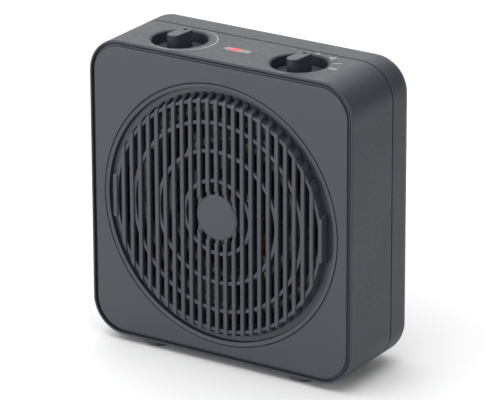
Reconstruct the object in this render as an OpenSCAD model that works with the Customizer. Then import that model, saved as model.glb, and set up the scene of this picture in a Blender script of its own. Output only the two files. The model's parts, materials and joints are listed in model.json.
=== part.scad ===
// Compact fan heater: a square two-part housing with a round barred outlet in front,
// two knobs and a pilot lamp on top, and an axial fan behind a ring of heating wire.
// Millimetres. +Z up, the outlet faces -Y. The origin is under the middle of the box
// that holds the heater, at the height of the surface it stands on.

/* [Body] */
// Width of the housing
body_w = 220; // [216:1:240]
// Height of the housing without its feet
body_h = 225; // [222:1:240]
// Depth of the housing without the outlet grille
body_d = 82; // [82:1:96]
// Radius of the four long corners
corner_r = 26; // [22:1:30]
// Rounding round the edge of the back
rear_edge_r = 12; // [8:1:14]
// Thickness of the moulded walls
wall = 2.2; // [1.8:0.1:2.4]
// Depth of the front shell, from the front plane to the seam
seam_depth = 53.4; // [50:0.2:55]

/* [Outlet grille] */
// Height of the outlet's centre above the bottom of the housing
outlet_up = 109; // [107:0.5:111]
// Radius of the line where the grille moulding meets the front panel
bezel_r = 98; // [96:0.5:99]
// How far the bars stand in front of the panel
grille_proud = 4.5; // [3:0.5:6]
// Number of upright bars
bar_count = 25; // [21:2:25]
// Distance from one bar to the next
bar_pitch = 7.2; // [7:0.1:7.2]
// Width of a bar
bar_w = 3.2; // [2.4:0.1:3.4]
// Radius at which the bars turn back
bars_r = 87.8; // [87.6:0.1:88]
// Radius of the plain disc in the middle
disc_r = 17; // [15:0.5:20]

/* [Controls] */
// Distance of each knob from the middle of the top
knob_x = 50; // [46:1:54]
// Distance of the knobs behind the front plane
knob_back = 26.5; // [25:0.5:28]
// Radius of the round well that a knob sits in
well_r = 20.5; // [20:0.5:22]
// Depth of the well
well_deep = 9.5; // [7:0.5:9.5]
// Height of the knob's grip above the top of the housing
grip_rise = 5.5; // [4:0.5:8]
// Angle of both grips at rest, clockwise from straight back
grip_turn = 5; // [0:1:10]

/* [Feet] */
// Height of a foot
foot_h = 5; // [4:0.5:8]
// Radius of a foot
foot_r = 10.5; // [8:0.5:12]
// Distance of each foot from the middle line
foot_x = 62; // [50:1:75]

/* [Fan and motor] */
// Radius of the fan at its blade tips
fan_r = 79; // [70:1:80]
// Number of fan blades
fan_blades = 7; // [5:1:9]
// Inner radius of the sheet-metal duct
duct_r = 84; // [83:0.5:85]
// Radius of the motor shaft
shaft_r = 2; // [1.8:0.1:2.5]

/* [Hidden] */
$fn = 96;

// Air left between neighbouring mouldings
gap = 0.3;
// Air left round a screw or a wire
ease = 0.1;
// Running clearance of a shaft in its bearing
run = 0.05;
overall_d = body_d + grille_proud;
front = -overall_d / 2 + grille_proud;
rear = overall_d / 2;
seam = front + seam_depth;
base = foot_h;
top = foot_h + body_h;
mid = (base + top) / 2;
axis_z = foot_h + outlet_up;
knob_y = front + knob_back;

// Front edge of the housing: the rim, then the panel's flange and its raised face
rim_t = 1.6;
rim_edge = 0.8;
flange_in = 3;
panel_in = 4.3;
panel_t = 3;
panel_step = 1.6;
bulkhead_t = 2;

// Seam between the two halves, with the rear half's locating lip
seam_gap = 0.5;
lip_fit = 0.15;
lip_t = 1.15;
lip_l = 4;

// Grille: recess floor round the bars, wall behind them, three rings and the disc
recess_deep = 4;
dish_w = 3.4;
blade_back = 5.4;
bar_round = 1.4;
ring_wall_r = bars_r - 0.8;
ring_wall_t = 2.4;
leg_splay = 3;
bar_deep = 3.6;
heel_r = bars_r - 4;
ring_radii = [28.7, 50.7, 71.9];
ring_w = 2.7;
ring_deep = 3.2;
ring_behind = 1.4;
disc_t = 3;
disc_skirt = 2;
hook_l = 8;

// Stations along the air path, each measured back from the front plane
duct_from = 9.5;
duct_to = 55;
sheet = 0.8;
board_from = 13;
board_to = 35;
coil_at = 18;
coil_tube_r = 3.2;
coil_outer_r = 76;
coil_inner_r = 52;
fan_from = 41;
fan_to = 53;
mount_at = duct_to;
mount_t = 1.2;
stack_from = 63;
stack_to = 73;
shaft_from = 37.5;
shaft_to = 78.6;

// Housing screws and feet
post_in = 15;
post_x = body_w / 2 - post_in;
post_z = body_h / 2 - post_in;
post_r = 4.5;
post_meet = seam - 5;
screw_r = 1.5;
screw_well_r = 3.4;
screw_well_deep = 12;
screw_bite = 18;
boss_r = 4;
peg_x = body_w / 2 - 9;
peg_z = 60;
peg_r = 1.6;
foot_front_y = front + 14;
foot_rear_y = rear - 18;
foot_edge = 0.8;
foot_bore_r = 3.6;
foot_bore_deep = 2.4;
foot_screw_l = 10;

// Slots in the back, split by two rings
slot_w = 2.4;
slot_pitch = 6;
slot_deep = 4.2;
slot_field_r = 76;
slot_hub_r = 15;
slot_rings = [35, 57];
slot_ring_w = 3;

// Cord inlet in the back
gland_x = -80;
gland_z = base + 27;
gland_bore_r = 3.6;
gland_neck_r = 5.9;
gland_flange_r = 7.4;
gland_collar_r = 8.2;
gland_collar_t = 1;
gland_flange_t = 3;

// Controls
well_floor = top - well_deep;
well_edge = 0.8;
knob_disc_r = well_r - 0.9;
knob_disc_t = 1.6;
knob_lift = 0.4;
knob_edge = 0.6;
grip_l = 23;
grip_w = 9.8;
spindle_r = 3;
spindle_grip = 8;
spindle_hole_r = 5;
control_z = well_floor - wall - 2.8;
control_screw_x = 16;
control_screw_r = 1.35;
control_h = 18;
flange_t = 1.5;
tab_drop = 12;
tab_h = 6;
tab_t = 0.8;
tab_out = 3;

// Pilot lamp under its lens
lens_x = -1;
lens_l = 23;
lens_w = 7;
lens_rise = 0.3;
lens_flange = 1.4;
lens_ledge = 4;
lamp_x = -3;
lamp_r = 2.5;
lamp_l = 12;
holder_l = 30;
holder_w = 12;
holder_deep = 13;
holder_wall = 2;

// Supply terminals and the wires inside
block = [-76, -8, base + wall];
block_size = [16, 36, 16];
pole_pitch = 12;
pole_z = 8;
pole_screw_x = 4;
insert_r = 2.9;
insert_l = 14;
insert_bore_r = 1.5;
wire_r = 1.2;
tab_z = control_z - tab_drop;

// Fan
blade_turn = 20;
blade_t = 1.6;
blade_w = 40;
hub_r = 17;
hub_t = 2.5;
collar_r = 5;

// Heating element
board_t = 1;
coil_open = 20;
terminal_z = [34, 40, 59, 67];

// Motor
core_w = 60;
core_up = 20;
core_down = 46;
limb = 10;
rotor_r = 12.2;
rotor_gap = 0.4;
window_w = 36;
window_h = 16;
bobbin_l = 32;
bobbin_cheek = 5;
winding_t = 4.6;
bolt_x = 24;
bolt_r = 1.9;
bolt_l = 23.8;
spacer_r = 4;
bearing_r = 5;
bearing_l = 4;
bracket_t = 2;
bracket_w = 13;
bracket_boss_r = 7.5;
bracket_rear_at = 75;

// Ears that hold the duct and the motor mount, on the diagonals
duct_ear_r = 101;
mount_ear_r = 90;
ear_w = 10;
mount_plate_r = 32;

plastic = [0.34, 0.35, 0.37];
plastic_dark = [0.12, 0.12, 0.13];
steel = [0.72, 0.73, 0.75];
brass = [0.80, 0.65, 0.35];
mica = [0.75, 0.70, 0.58];

// A 2D child drawn in X and Z, as a slab from y0 to y1
module slab(y0, y1) {
    translate([0, y1, 0]) rotate([90, 0, 0]) linear_extrude(y1 - y0) children();
}
// A cylinder along Y
module rod(r, y0, y1) {
    translate([0, y0, 0]) rotate([-90, 0, 0]) cylinder(r = r, h = y1 - y0);
}
// A profile drawn as (radius, distance back), revolved about the Y axis
module spun(deg = 360) {
    rotate([-90, 0, 0]) rotate_extrude(angle = deg) children();
}
// Moves children to the outlet's axis, with y counted back from the front plane
module on_axis() {
    translate([0, front, axis_z]) children();
}
// A rectangle with true arcs at its corners
module round_rect(w, h, r) {
    square([w - 2 * r, h], center = true);
    square([w, h - 2 * r], center = true);
    for (sx = [-1, 1], sz = [-1, 1])
        translate([sx * (w / 2 - r), sz * (h / 2 - r)]) circle(r);
}
// A stadium shape along X
module pill(l, w) {
    square([l - w, w], center = true);
    for (s = [-1, 1]) translate([s * (l - w) / 2, 0]) circle(w / 2);
}
// Outline of the housing, pulled in by d
module outline(d) {
    translate([0, mid]) round_rect(body_w - 2 * d, body_h - 2 * d, corner_r - d);
}
// Quarter-round edge section: r wide, len deep, the far outer corner rounded by e
module edge_section(r, len, e) {
    square([r, len - e]);
    square([r - e, len]);
    translate([r - e, len - e]) circle(e);
}
// A block with round corners r that ends in a rounded edge e, starting at y = 0
module soft_block(w, h, r, len, e) {
    inner_w = w - 2 * r;
    inner_h = h - 2 * r;
    slab(0, len) square([inner_w, inner_h], center = true);
    for (s = [0, 180]) rotate([0, s, 0]) {
        translate([inner_w / 2, 0, -inner_h / 2]) linear_extrude(inner_h)
            edge_section(r, len, e);
        translate([-inner_w / 2, 0, inner_h / 2]) rotate([90, 0, 90])
            linear_extrude(inner_w) mirror([1, -1, 0]) edge_section(r, len, e);
    }
    for (q = [0:3]) {
        sx = (q == 0 || q == 3) ? 1 : -1;
        sz = (q < 2) ? 1 : -1;
        translate([sx * inner_w / 2, 0, sz * inner_h / 2]) rotate([0, -90 * q, 0])
            rotate([-90, 0, 0]) rotate([0, 0, -90]) rotate_extrude(angle = 90)
                edge_section(r, len, e);
    }
}
// The four corner posts that take the housing screws
module at_posts() {
    for (sx = [-1, 1], sz = [-1, 1])
        translate([sx * post_x, 0, mid + sz * post_z]) children();
}
// The four pegs that locate the front panel
module at_pegs() {
    for (sx = [-1, 1], sz = [-1, 1]) translate([sx * peg_x, 0, mid + sz * peg_z]) children();
}
// The four diagonals round the outlet's axis, at radius r
module at_diagonals(r) {
    for (a = [45:90:315]) translate([r * cos(a), 0, r * sin(a)]) children();
}
// A pan-head screw along +Y, its head in front at y = 0
module screw(head_r, head_h, r, l) {
    rod(head_r, -head_h, 0);
    rod(r, 0, l);
}
// A list of points with its corners cut, which rounds the route a little each time
function softened(p, times) = times == 0 ? p : softened(concat([p[0]],
    [for (i = [0:len(p) - 2], t = [0.25, 0.75]) p[i] + t * (p[i + 1] - p[i])],
    [p[len(p) - 1]]), times - 1);
function unit(v) = v / norm(v);
function heading(p, i) = unit(p[min(i + 1, len(p) - 1)] - p[max(i - 1, 0)]);
// A tube swept along a route that never runs straight along Y
module wire(points, r) {
    sides = 8;
    p = softened(points, 2);
    rings = [for (i = [0:len(p) - 1]) let(t = heading(p, i), u = unit(cross(t, [0, 1, 0])),
        v = cross(t, u)) for (k = [0:sides - 1])
            p[i] + r * (cos(360 * k / sides) * u + sin(360 * k / sides) * v)];
    ends = sides * (len(p) - 1);
    polyhedron(points = rings, faces = concat(
        [[for (k = [0:sides - 1]) k]], [[for (k = [sides - 1:-1:0]) ends + k]],
        [for (i = [0:len(p) - 2], k = [0:sides - 1]) let(a = i * sides, b = a + sides,
            n = (k + 1) % sides) [a + n, a + k, b + k, b + n]]));
}

module well_cuts() {
    screw_from = control_z - 1;
    for (s = [-1, 1]) translate([s * knob_x, knob_y, 0]) {
        translate([0, 0, well_floor]) cylinder(r = well_r, h = well_deep + 1);
        translate([0, 0, top - well_edge])
            cylinder(r1 = well_r, r2 = well_r + well_edge, h = well_edge + 0.1);
        translate([0, 0, well_floor - wall - 1]) cylinder(r = spindle_hole_r, h = wall + 2);
        for (t = [-1, 1]) translate([t * control_screw_x, 0, screw_from])
            cylinder(r = control_screw_r, h = well_floor - 0.4 - screw_from);
    }
}
module front_shell() {
    boss_h = 9;
    color(plastic) difference() {
        union() {
            difference() {
                translate([0, seam, mid]) rotate([0, 0, 180])
                    soft_block(body_w, body_h, corner_r, seam_depth, rim_edge);
                slab(front - 1, front + panel_t) outline(rim_t);
                slab(front + panel_t + bulkhead_t, seam + 1) outline(wall);
                slab(front - 1, seam + 1) translate([0, axis_z]) circle(bezel_r - 2);
            }
            for (s = [-1, 1]) translate([s * knob_x, knob_y, well_floor - wall])
                cylinder(r = well_r + wall, h = well_deep + wall - 0.5);
            for (s = [-1, 1], t = [-1, 1])
                translate([s * knob_x + t * control_screw_x, knob_y, control_z])
                    cylinder(r = boss_r - 0.5, h = well_floor - control_z - 1);
            for (s = [-1, 1]) translate([s * foot_x, foot_front_y, base + 1])
                cylinder(r = boss_r, h = boss_h);
            at_posts() rod(post_r, front + panel_t + 1, post_meet);
            on_axis() at_diagonals(duct_ear_r) rod(boss_r, panel_t + 1, duct_from);
        }
        well_cuts();
        translate([lens_x, knob_y, top - 2 * wall]) linear_extrude(4 * wall)
            pill(lens_l + 0.4, lens_w + 0.4);
        for (s = [-1, 1]) translate([s * foot_x, foot_front_y, base - 1])
            cylinder(r = screw_r + ease, h = boss_h + 1);
        at_posts() rod(screw_r, post_meet - screw_bite - 4, post_meet + 1);
        on_axis() at_diagonals(duct_ear_r) rod(screw_r, panel_t + bulkhead_t + 0.4, duct_from + 1);
        at_pegs() rod(peg_r + gap, front + panel_t - 1, front + panel_t + bulkhead_t + 1);
    }
}
module front_panel() {
    color(plastic) {
        difference() {
            union() {
                slab(front + panel_step, front + panel_t) outline(flange_in);
                slab(front, front + panel_step) outline(panel_in);
            }
            on_axis() rod(bezel_r + gap, -1, panel_t + 1);
        }
        at_pegs() rod(peg_r, front + panel_t, front + panel_t + bulkhead_t + 2);
    }
}
module grille_frame() {
    rim_r = bezel_r - gap;
    spigot_r = bezel_r - 2.3;
    spigot_in = spigot_r - 2.5;
    wall_in = ring_wall_r - 1;
    spigot_to = panel_t + bulkhead_t + 4;
    spun() polygon([[rim_r, 0], [bezel_r - dish_w, 0.3], [bezel_r - dish_w - 0.3, recess_deep],
        [wall_in, recess_deep], [wall_in, blade_back], [spigot_in, blade_back],
        [spigot_in, spigot_to], [spigot_r, spigot_to], [spigot_r, panel_t], [rim_r, panel_t]]);
    for (a = [0:90:270]) rotate([0, a, 0])
        translate([spigot_r - 1.7, panel_t + bulkhead_t + 0.2, -hook_l / 2]) cube([3, 1.8, hook_l]);
}
// The bars fill this revolved outline: shallow and rounded in front, with deep heels at the
// ring wall and legs that splay to the recess
module bars_envelope() {
    round_r = bars_r - bar_round;
    leg_r = bars_r + leg_splay;
    toe = recess_deep + 0.6;
    spun() difference() {
        union() {
            translate([0, -grille_proud]) square([round_r, bar_deep]);
            translate([heel_r, bar_round - grille_proud])
                square([bars_r - heel_r, blade_back - 0.4]);
            translate([round_r, bar_round - grille_proud]) circle(bar_round);
            polygon([[heel_r, 0], [bars_r, 1 - grille_proud], [leg_r, recess_deep], [leg_r, toe],
                [bars_r - 2, toe], [bars_r - 2, blade_back], [heel_r, blade_back]]);
        }
        translate([0, -body_d / 2]) square([disc_r - 1, body_d]);
    }
}
module grille_bars() {
    intersection() {
        for (i = [0:bar_count - 1]) translate([(i - (bar_count - 1) / 2) * bar_pitch, 0, 0])
            translate([-bar_w / 2, -grille_proud, -bars_r - 1])
                cube([bar_w, grille_proud + blade_back, 2 * bars_r + 2]);
        bars_envelope();
    }
}
module front_grille() {
    color(plastic) on_axis() {
        grille_frame();
        grille_bars();
        for (r = ring_radii) spun() translate([r - ring_w, ring_behind - grille_proud])
            square([ring_w, ring_deep]);
        spun() translate([ring_wall_r - ring_wall_t, 1.2 - grille_proud])
            square([ring_wall_t, blade_back + grille_proud - 1.2]);
        spun() polygon([[0, -grille_proud], [disc_r - 0.5, -grille_proud],
            [disc_r, 0.5 - grille_proud], [disc_r, blade_back], [disc_r - disc_skirt, blade_back],
            [disc_r - disc_skirt, disc_t - grille_proud], [0, disc_t - grille_proud]]);
    }
}
module rear_slots() {
    count = floor(slot_field_r / slot_pitch);
    on_axis() slab(body_d - slot_deep - 2, body_d + 2) difference() {
        intersection() {
            circle(slot_field_r);
            for (i = [-count:count]) translate([i * slot_pitch - slot_w / 2, -slot_field_r])
                square([slot_w, 2 * slot_field_r]);
        }
        circle(slot_hub_r);
        for (r = slot_rings) difference() {
            circle(r + slot_ring_w / 2);
            circle(r - slot_ring_w / 2);
        }
    }
}
// Thicker floor of the slots, left out where the motor stands
module rear_slot_pad() {
    on_axis() slab(body_d - slot_deep, body_d - 1) difference() {
        circle(slot_field_r + 1);
        translate([-core_w / 2 - 2, -core_down - 6]) square([core_w + 4, core_down + 16]);
    }
}
module rear_shell() {
    start = seam + seam_gap;
    lip_in = wall + lip_fit + lip_t;
    boss_h = 9;
    color(plastic) difference() {
        union() {
            difference() {
                union() {
                    translate([0, start, mid])
                        soft_block(body_w, body_h, corner_r, rear - start, rear_edge_r);
                    slab(seam - lip_l, start + 1) outline(wall + lip_fit);
                }
                translate([0, seam - lip_l - 1, mid]) soft_block(body_w - 2 * lip_in,
                    body_h - 2 * lip_in, corner_r - lip_in, rear - wall - seam + lip_l + 1,
                    rear_edge_r - wall);
            }
            rear_slot_pad();
            at_posts() rod(post_r, post_meet, rear - 2);
            for (s = [-1, 1]) translate([s * foot_x, foot_rear_y, base + 1])
                cylinder(r = boss_r, h = boss_h);
        }
        rear_slots();
        at_posts() rod(screw_r + 0.3, post_meet - 1, rear);
        at_posts() rod(screw_well_r, rear - screw_well_deep, rear + 1);
        for (s = [-1, 1]) translate([s * foot_x, foot_rear_y, base - 1])
            cylinder(r = screw_r + ease, h = boss_h + 1);
        translate([gland_x, 0, gland_z]) rod(gland_collar_r + gap, rear - gland_collar_t, rear + 1);
        translate([gland_x, 0, gland_z]) rod(gland_neck_r + ease, rear - 10, rear + 1);
    }
}
module foot() {
    color(plastic_dark) difference() {
        union() {
            cylinder(r1 = foot_r - foot_edge, r2 = foot_r, h = foot_edge);
            translate([0, 0, foot_edge]) cylinder(r = foot_r, h = foot_h - foot_edge);
        }
        translate([0, 0, -1]) cylinder(r = foot_bore_r, h = foot_bore_deep + 1);
        cylinder(r = screw_r + 0.2, h = foot_h + 1);
    }
}
module foot_front_left() translate([-foot_x, foot_front_y, 0]) foot();
module foot_front_right() translate([foot_x, foot_front_y, 0]) foot();
module foot_rear_left() translate([-foot_x, foot_rear_y, 0]) foot();
module foot_rear_right() translate([foot_x, foot_rear_y, 0]) foot();
module foot_screws() {
    color(steel) for (s = [-1, 1], y = [foot_front_y, foot_rear_y])
        translate([s * foot_x, y, foot_bore_deep]) rotate([90, 0, 0])
            screw(3, 1.8, screw_r, foot_screw_l);
}
module shell_screws() {
    head_y = rear - screw_well_deep;
    color(steel) at_posts() translate([0, head_y, 0]) mirror([0, 1, 0])
        screw(3, 2, screw_r, head_y - post_meet + screw_bite);
}
module indicator_lens() {
    color([0.85, 0.82, 0.82]) translate([lens_x, knob_y, 0]) {
        translate([0, 0, top - wall]) linear_extrude(wall + lens_rise) pill(lens_l, lens_w);
        translate([0, 0, top - wall - lens_flange]) linear_extrude(lens_flange)
            pill(lens_l + lens_ledge, lens_w + lens_ledge);
    }
}
module indicator_lamp() {
    color([0.9, 0.35, 0.2]) translate([lamp_x, knob_y, top - 8.5]) rotate([0, 90, 0]) {
        translate([0, 0, -lamp_l / 2]) cylinder(r = lamp_r, h = lamp_l);
        translate([0, 0, lamp_l / 2]) sphere(lamp_r);
    }
}
module lamp_holder() {
    inner = [holder_l - 2 * holder_wall, holder_w - 2 * holder_wall, holder_deep];
    color(plastic_dark) translate([lens_x, knob_y, top - holder_deep]) difference() {
        translate([-holder_l / 2, -holder_w / 2, 0])
            cube([holder_l, holder_w, holder_deep - wall - lens_flange]);
        translate([-inner[0] / 2, -inner[1] / 2, holder_wall]) cube(inner);
    }
}
// Knob: a disc in the well with an upright grip across it; the underside takes the spindle
module knob() {
    floor_up = well_floor + knob_lift;
    grip_from = floor_up + knob_disc_t / 2;
    color(plastic) difference() {
        union() {
            translate([0, 0, floor_up]) cylinder(r = knob_disc_r, h = knob_disc_t - knob_edge);
            translate([0, 0, floor_up + knob_disc_t - knob_edge])
                cylinder(r1 = knob_disc_r, r2 = knob_disc_r - knob_edge, h = knob_edge);
            translate([0, 0, grip_from]) rotate([0, 0, 90 - grip_turn])
                linear_extrude(top + grip_rise - grip_from) pill(grip_l, grip_w);
        }
        translate([0, 0, floor_up - 1]) cylinder(r = spindle_r, h = spindle_grip + 1);
    }
}
module spindle() {
    from = control_z - control_h + 1 + gap;
    to = well_floor + knob_lift + spindle_grip;
    color(steel) translate([0, 0, from]) cylinder(r = spindle_r, h = to - from);
}
// Body of a rotary control, hung under the top by a flange with two screws
module control_body(l, d, h) {
    ear = boss_r;
    tab_y = d / 2 + tab_out;
    difference() {
        union() {
            translate([-l / 2, -d / 2, control_z - flange_t - h]) cube([l, d, h]);
            translate([-control_screw_x - ear, -6, control_z - flange_t])
                cube([2 * control_screw_x + 2 * ear, 12, flange_t]);
        }
        translate([0, 0, control_z - h + 1]) cylinder(r = spindle_r + run, h = h + 2);
        for (t = [-1, 1]) translate([t * control_screw_x, 0, control_z - 2 * flange_t])
            cylinder(r = control_screw_r + 0.25, h = 3 * flange_t);
    }
    for (t = [-1, 1], u = [-1, 1]) translate([t * l / 4, 0, control_z - tab_drop]) {
        translate([-3, u * tab_y - tab_t / 2, 0]) cube([6, tab_t, tab_h]);
        translate([-1, min(u * d / 2, u * tab_y), 2]) cube([2, tab_out, 2]);
    }
}
module at_thermostat() translate([-knob_x, knob_y, 0]) children();
module at_mode() translate([knob_x, knob_y, 0]) children();
module thermostat_knob() at_thermostat() knob();
module thermostat_spindle() at_thermostat() spindle();
module thermostat_body() at_thermostat() color([0.82, 0.79, 0.70]) control_body(24, 18, control_h);
module mode_knob() at_mode() knob();
module mode_spindle() at_mode() spindle();
module mode_switch_body() at_mode() color([0.2, 0.2, 0.22]) control_body(24, 22, control_h);
module control_screws() {
    color(steel) for (s = [-1, 1], t = [-1, 1])
        translate([s * knob_x + t * control_screw_x, knob_y, control_z - flange_t])
            rotate([90, 0, 0]) screw(2.6, 1.6, control_screw_r, flange_t + wall + 1.8);
}
// An ear of the sheet-metal duct on each diagonal, out to radius r
module duct_ears(r, y0) {
    from = duct_r + sheet / 2;
    for (a = [45:90:315]) rotate([0, -a, 0])
        translate([from, y0, -ear_w / 2]) cube([r - from + ear_w / 2, sheet, ear_w]);
}
module heater_duct() {
    color(steel) on_axis() difference() {
        union() {
            spun() translate([duct_r, duct_from]) square([sheet, duct_to - duct_from]);
            duct_ears(duct_ear_r, duct_from);
            duct_ears(mount_ear_r, duct_to - sheet);
        }
        at_diagonals(duct_ear_r) rod(screw_r + ease, duct_from - 1, duct_from + 2);
        at_diagonals(mount_ear_r) rod(screw_r, duct_to - 2, duct_to + 1);
        translate([-2, board_to - 3, duct_r - 4]) cube([14, 8, 10]);
    }
}
module duct_screws() {
    color(steel) on_axis() at_diagonals(duct_ear_r) translate([0, duct_from + sheet, 0])
        mirror([0, 1, 0]) screw(2.8, 1.8, screw_r, 4.6);
}
// Outline of a mica board in (radius, distance back), with notches for both coils
module board_outline(slot_y0, slot_y1) {
    reach = duct_r - 0.6;
    notch_w = 2 * (coil_tube_r + gap);
    slot_t = board_t + gap;
    difference() {
        translate([-reach, board_from]) square([2 * reach, board_to - board_from]);
        for (s = [-1, 1], r = [coil_outer_r, coil_inner_r])
            translate([s * r - notch_w / 2, board_from - 1])
                square([notch_w, coil_at + coil_tube_r + 1.3 - board_from]);
        for (s = [-1, 1], r = [28, 64]) translate([s * r, board_to - 6]) circle(2.5);
        translate([-slot_t / 2, slot_y0]) square([slot_t, slot_y1 - slot_y0]);
    }
}
module mica_board_level() {
    half = (board_from + board_to) / 2;
    color(mica) on_axis() translate([0, 0, -board_t / 2]) linear_extrude(board_t)
        board_outline(board_from - 1, half + 0.1);
}
module mica_board_upright() {
    half = (board_from + board_to) / 2;
    color(mica) on_axis() rotate([0, 90, 0]) translate([0, 0, -board_t / 2])
        linear_extrude(board_t) board_outline(half - 0.1, board_to + 1);
}
// Space taken by a ring of coiled wire, open for a short way beside the upright board
module coil_ring(r) {
    on_axis() rotate([0, coil_open / 2 - 90, 0]) spun(360 - coil_open)
        translate([r, coil_at]) circle(coil_tube_r);
}
module heating_coil_outer() color([0.62, 0.60, 0.56]) coil_ring(coil_outer_r);
module heating_coil_inner() color([0.62, 0.60, 0.56]) coil_ring(coil_inner_r);
module element_terminals() {
    strip_t = 0.8;
    color(brass) on_axis() for (z = terminal_z) translate([board_t / 2, 0, z]) {
        translate([0, board_to - 9, -2]) cube([strip_t, 13, 4]);
        translate([strip_t, board_to - 6, 0]) rotate([0, 90, 0]) cylinder(r = 1.6, h = 0.7);
    }
}
module thermal_cutout() {
    can_t = 5;
    cap_t = 4;
    color([0.25, 0.22, 0.2]) on_axis() translate([-board_t / 2, board_to - 9, -34]) {
        translate([-can_t, 0, 0]) rotate([0, 90, 0]) cylinder(r = 6.5, h = can_t);
        translate([-can_t - cap_t, 0, 0]) rotate([0, 90, 0]) cylinder(r = 4.5, h = cap_t);
        for (s = [-1, 1]) translate([-can_t - cap_t + 0.5, 1, s * 3 - 1.5]) cube([0.8, 9, 3]);
    }
}
module thermal_fuse() {
    can_r = 2;
    can_l = 12;
    lead_l = 7;
    color(steel) on_axis() translate([-board_t / 2 - can_r, board_to - 8, 30]) {
        cylinder(r = can_r, h = can_l);
        translate([0, 0, -lead_l]) cylinder(r = 0.5, h = can_l + 2 * lead_l);
    }
}
module fan_impeller() {
    blade_from = 12;
    blade_mid = (fan_from + fan_to) / 2;
    color([0.22, 0.22, 0.23]) on_axis() {
        difference() {
            union() {
                rod(hub_r, fan_from, fan_to);
                intersection() {
                    for (i = [0:fan_blades - 1]) rotate([0, i * 360 / fan_blades, 0])
                        translate([blade_from, blade_mid, 0]) rotate([blade_turn, 0, 0])
                            translate([0, -blade_t / 2, -blade_w / 2])
                                cube([fan_r, blade_t, blade_w]);
                    spun() translate([hub_r - 3, fan_from])
                        square([fan_r - hub_r + 3, fan_to - fan_from]);
                }
            }
            rod(hub_r - hub_t, fan_from + 2, fan_to + 1);
            rod(shaft_r, fan_from - 1, fan_to + 1);
        }
        difference() {
            rod(collar_r, fan_from + 1, fan_to - 1);
            rod(shaft_r, fan_from, fan_to);
        }
    }
}
module fan_clip() {
    clip_t = 1.5;
    color(steel) on_axis() difference() {
        rod(collar_r, fan_from - clip_t, fan_from);
        rod(shaft_r, fan_from - clip_t - 1, fan_from + 1);
    }
}
module motor_shaft() color(steel) on_axis() rod(shaft_r, shaft_from, shaft_to);
module motor_rotor() {
    color([0.5, 0.5, 0.52]) on_axis() difference() {
        union() {
            rod(rotor_r, stack_from, stack_to);
            rod(rotor_r - 2, stack_from - 1, stack_to + 1);
        }
        rod(shaft_r, stack_from - 2, stack_to + 2);
    }
}
module motor_stator() {
    color([0.45, 0.46, 0.48]) on_axis() slab(stack_from, stack_to) difference() {
        translate([-core_w / 2, -core_down]) square([core_w, core_up + core_down]);
        circle(rotor_r + rotor_gap);
        translate([-window_w / 2, limb - core_down]) square([window_w, window_h]);
        for (s = [-1, 1]) translate([s * bolt_x, 0]) circle(bolt_r + 0.2);
    }
}
// Section of the laminations' lower limb, grown on all sides
module limb_section(grow) {
    square([limb + 2 * grow, stack_to - stack_from + 2 * grow], center = true);
}
module on_limb() {
    on_axis() translate([0, (stack_from + stack_to) / 2, limb / 2 - core_down])
        rotate([0, 90, 0]) children();
}
module motor_bobbin() {
    color([0.75, 0.72, 0.62]) on_limb() difference() {
        union() {
            translate([0, 0, -bobbin_l / 2]) linear_extrude(bobbin_l) limb_section(1.3);
            for (z = [-bobbin_l / 2 - 1, bobbin_l / 2]) translate([0, 0, z]) linear_extrude(1)
                limb_section(bobbin_cheek);
        }
        translate([0, 0, -bobbin_l]) linear_extrude(2 * bobbin_l) limb_section(ease);
    }
}
module motor_coil() {
    l = bobbin_l - 0.4;
    color([0.55, 0.25, 0.12]) on_limb() difference() {
        translate([0, 0, -l / 2]) linear_extrude(l) limb_section(winding_t);
        translate([0, 0, -l]) linear_extrude(2 * l) limb_section(1.35);
    }
}
// A cast bar that carries a bearing, held against the laminations by the two bolts
module bearing_bracket(y0, side) {
    difference() {
        union() {
            slab(y0, y0 + bracket_t) square([core_w - 2, bracket_w], center = true);
            rod(bracket_boss_r, y0 + min(side, 0) * 2, y0 + bracket_t + max(side, 0) * 2);
            for (s = [-1, 1]) translate([s * bolt_x, 0, 0])
                rod(spacer_r, side > 0 ? stack_to : y0, side > 0 ? y0 : stack_from);
        }
        rod(bearing_r, y0 - 3, y0 + bracket_t + 3);
        for (s = [-1, 1]) translate([s * bolt_x, 0, 0]) rod(bolt_r + ease, y0 - 10, y0 + 10);
    }
}
module bearing(y0) {
    difference() {
        rod(bearing_r, y0, y0 + bearing_l);
        rod(shaft_r + run, y0 - 1, y0 + bearing_l + 1);
    }
}
module motor_bracket_front() color(steel) on_axis() bearing_bracket(mount_at + mount_t + 2, -1);
module motor_bracket_rear() color(steel) on_axis() bearing_bracket(bracket_rear_at, 1);
module bearing_front() color(brass) on_axis() bearing(mount_at + mount_t);
module bearing_rear() color(brass) on_axis() bearing(bracket_rear_at);
module motor_bolts() {
    color(steel) on_axis() for (s = [-1, 1]) translate([s * bolt_x, mount_at, 0])
        screw(3.4, 0.6, bolt_r, bolt_l);
}
module motor_nuts() {
    nut_at = bracket_rear_at + bracket_t;
    color(steel) on_axis() for (s = [-1, 1]) translate([s * bolt_x, nut_at, 0]) difference() {
        rotate([-90, 0, 0]) cylinder(r = 3.6, h = 1.8, $fn = 6);
        rod(bolt_r, -1, 3);
    }
}
module motor_mount() {
    to = mount_at + mount_t;
    color(steel) on_axis() difference() {
        union() {
            slab(mount_at, to) {
                circle(mount_plate_r);
                for (a = [45, 135]) rotate(a)
                    square([2 * mount_ear_r + ear_w, ear_w], center = true);
            }
            for (s = [-1, 1]) translate([s * bolt_x, 0, 0]) rod(spacer_r, to, to + 2);
        }
        rod(bearing_r + 0.2, mount_at - 1, to + 1);
        for (s = [-1, 1]) translate([s * bolt_x, 0, 0]) rod(bolt_r + ease, mount_at - 1, to + 3);
        for (s = [-1, 1]) translate([0, 0, s * 20]) rod(6, mount_at - 1, to + 1);
        at_diagonals(mount_ear_r) rod(screw_r + ease, mount_at - 1, to + 1);
    }
}
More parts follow.
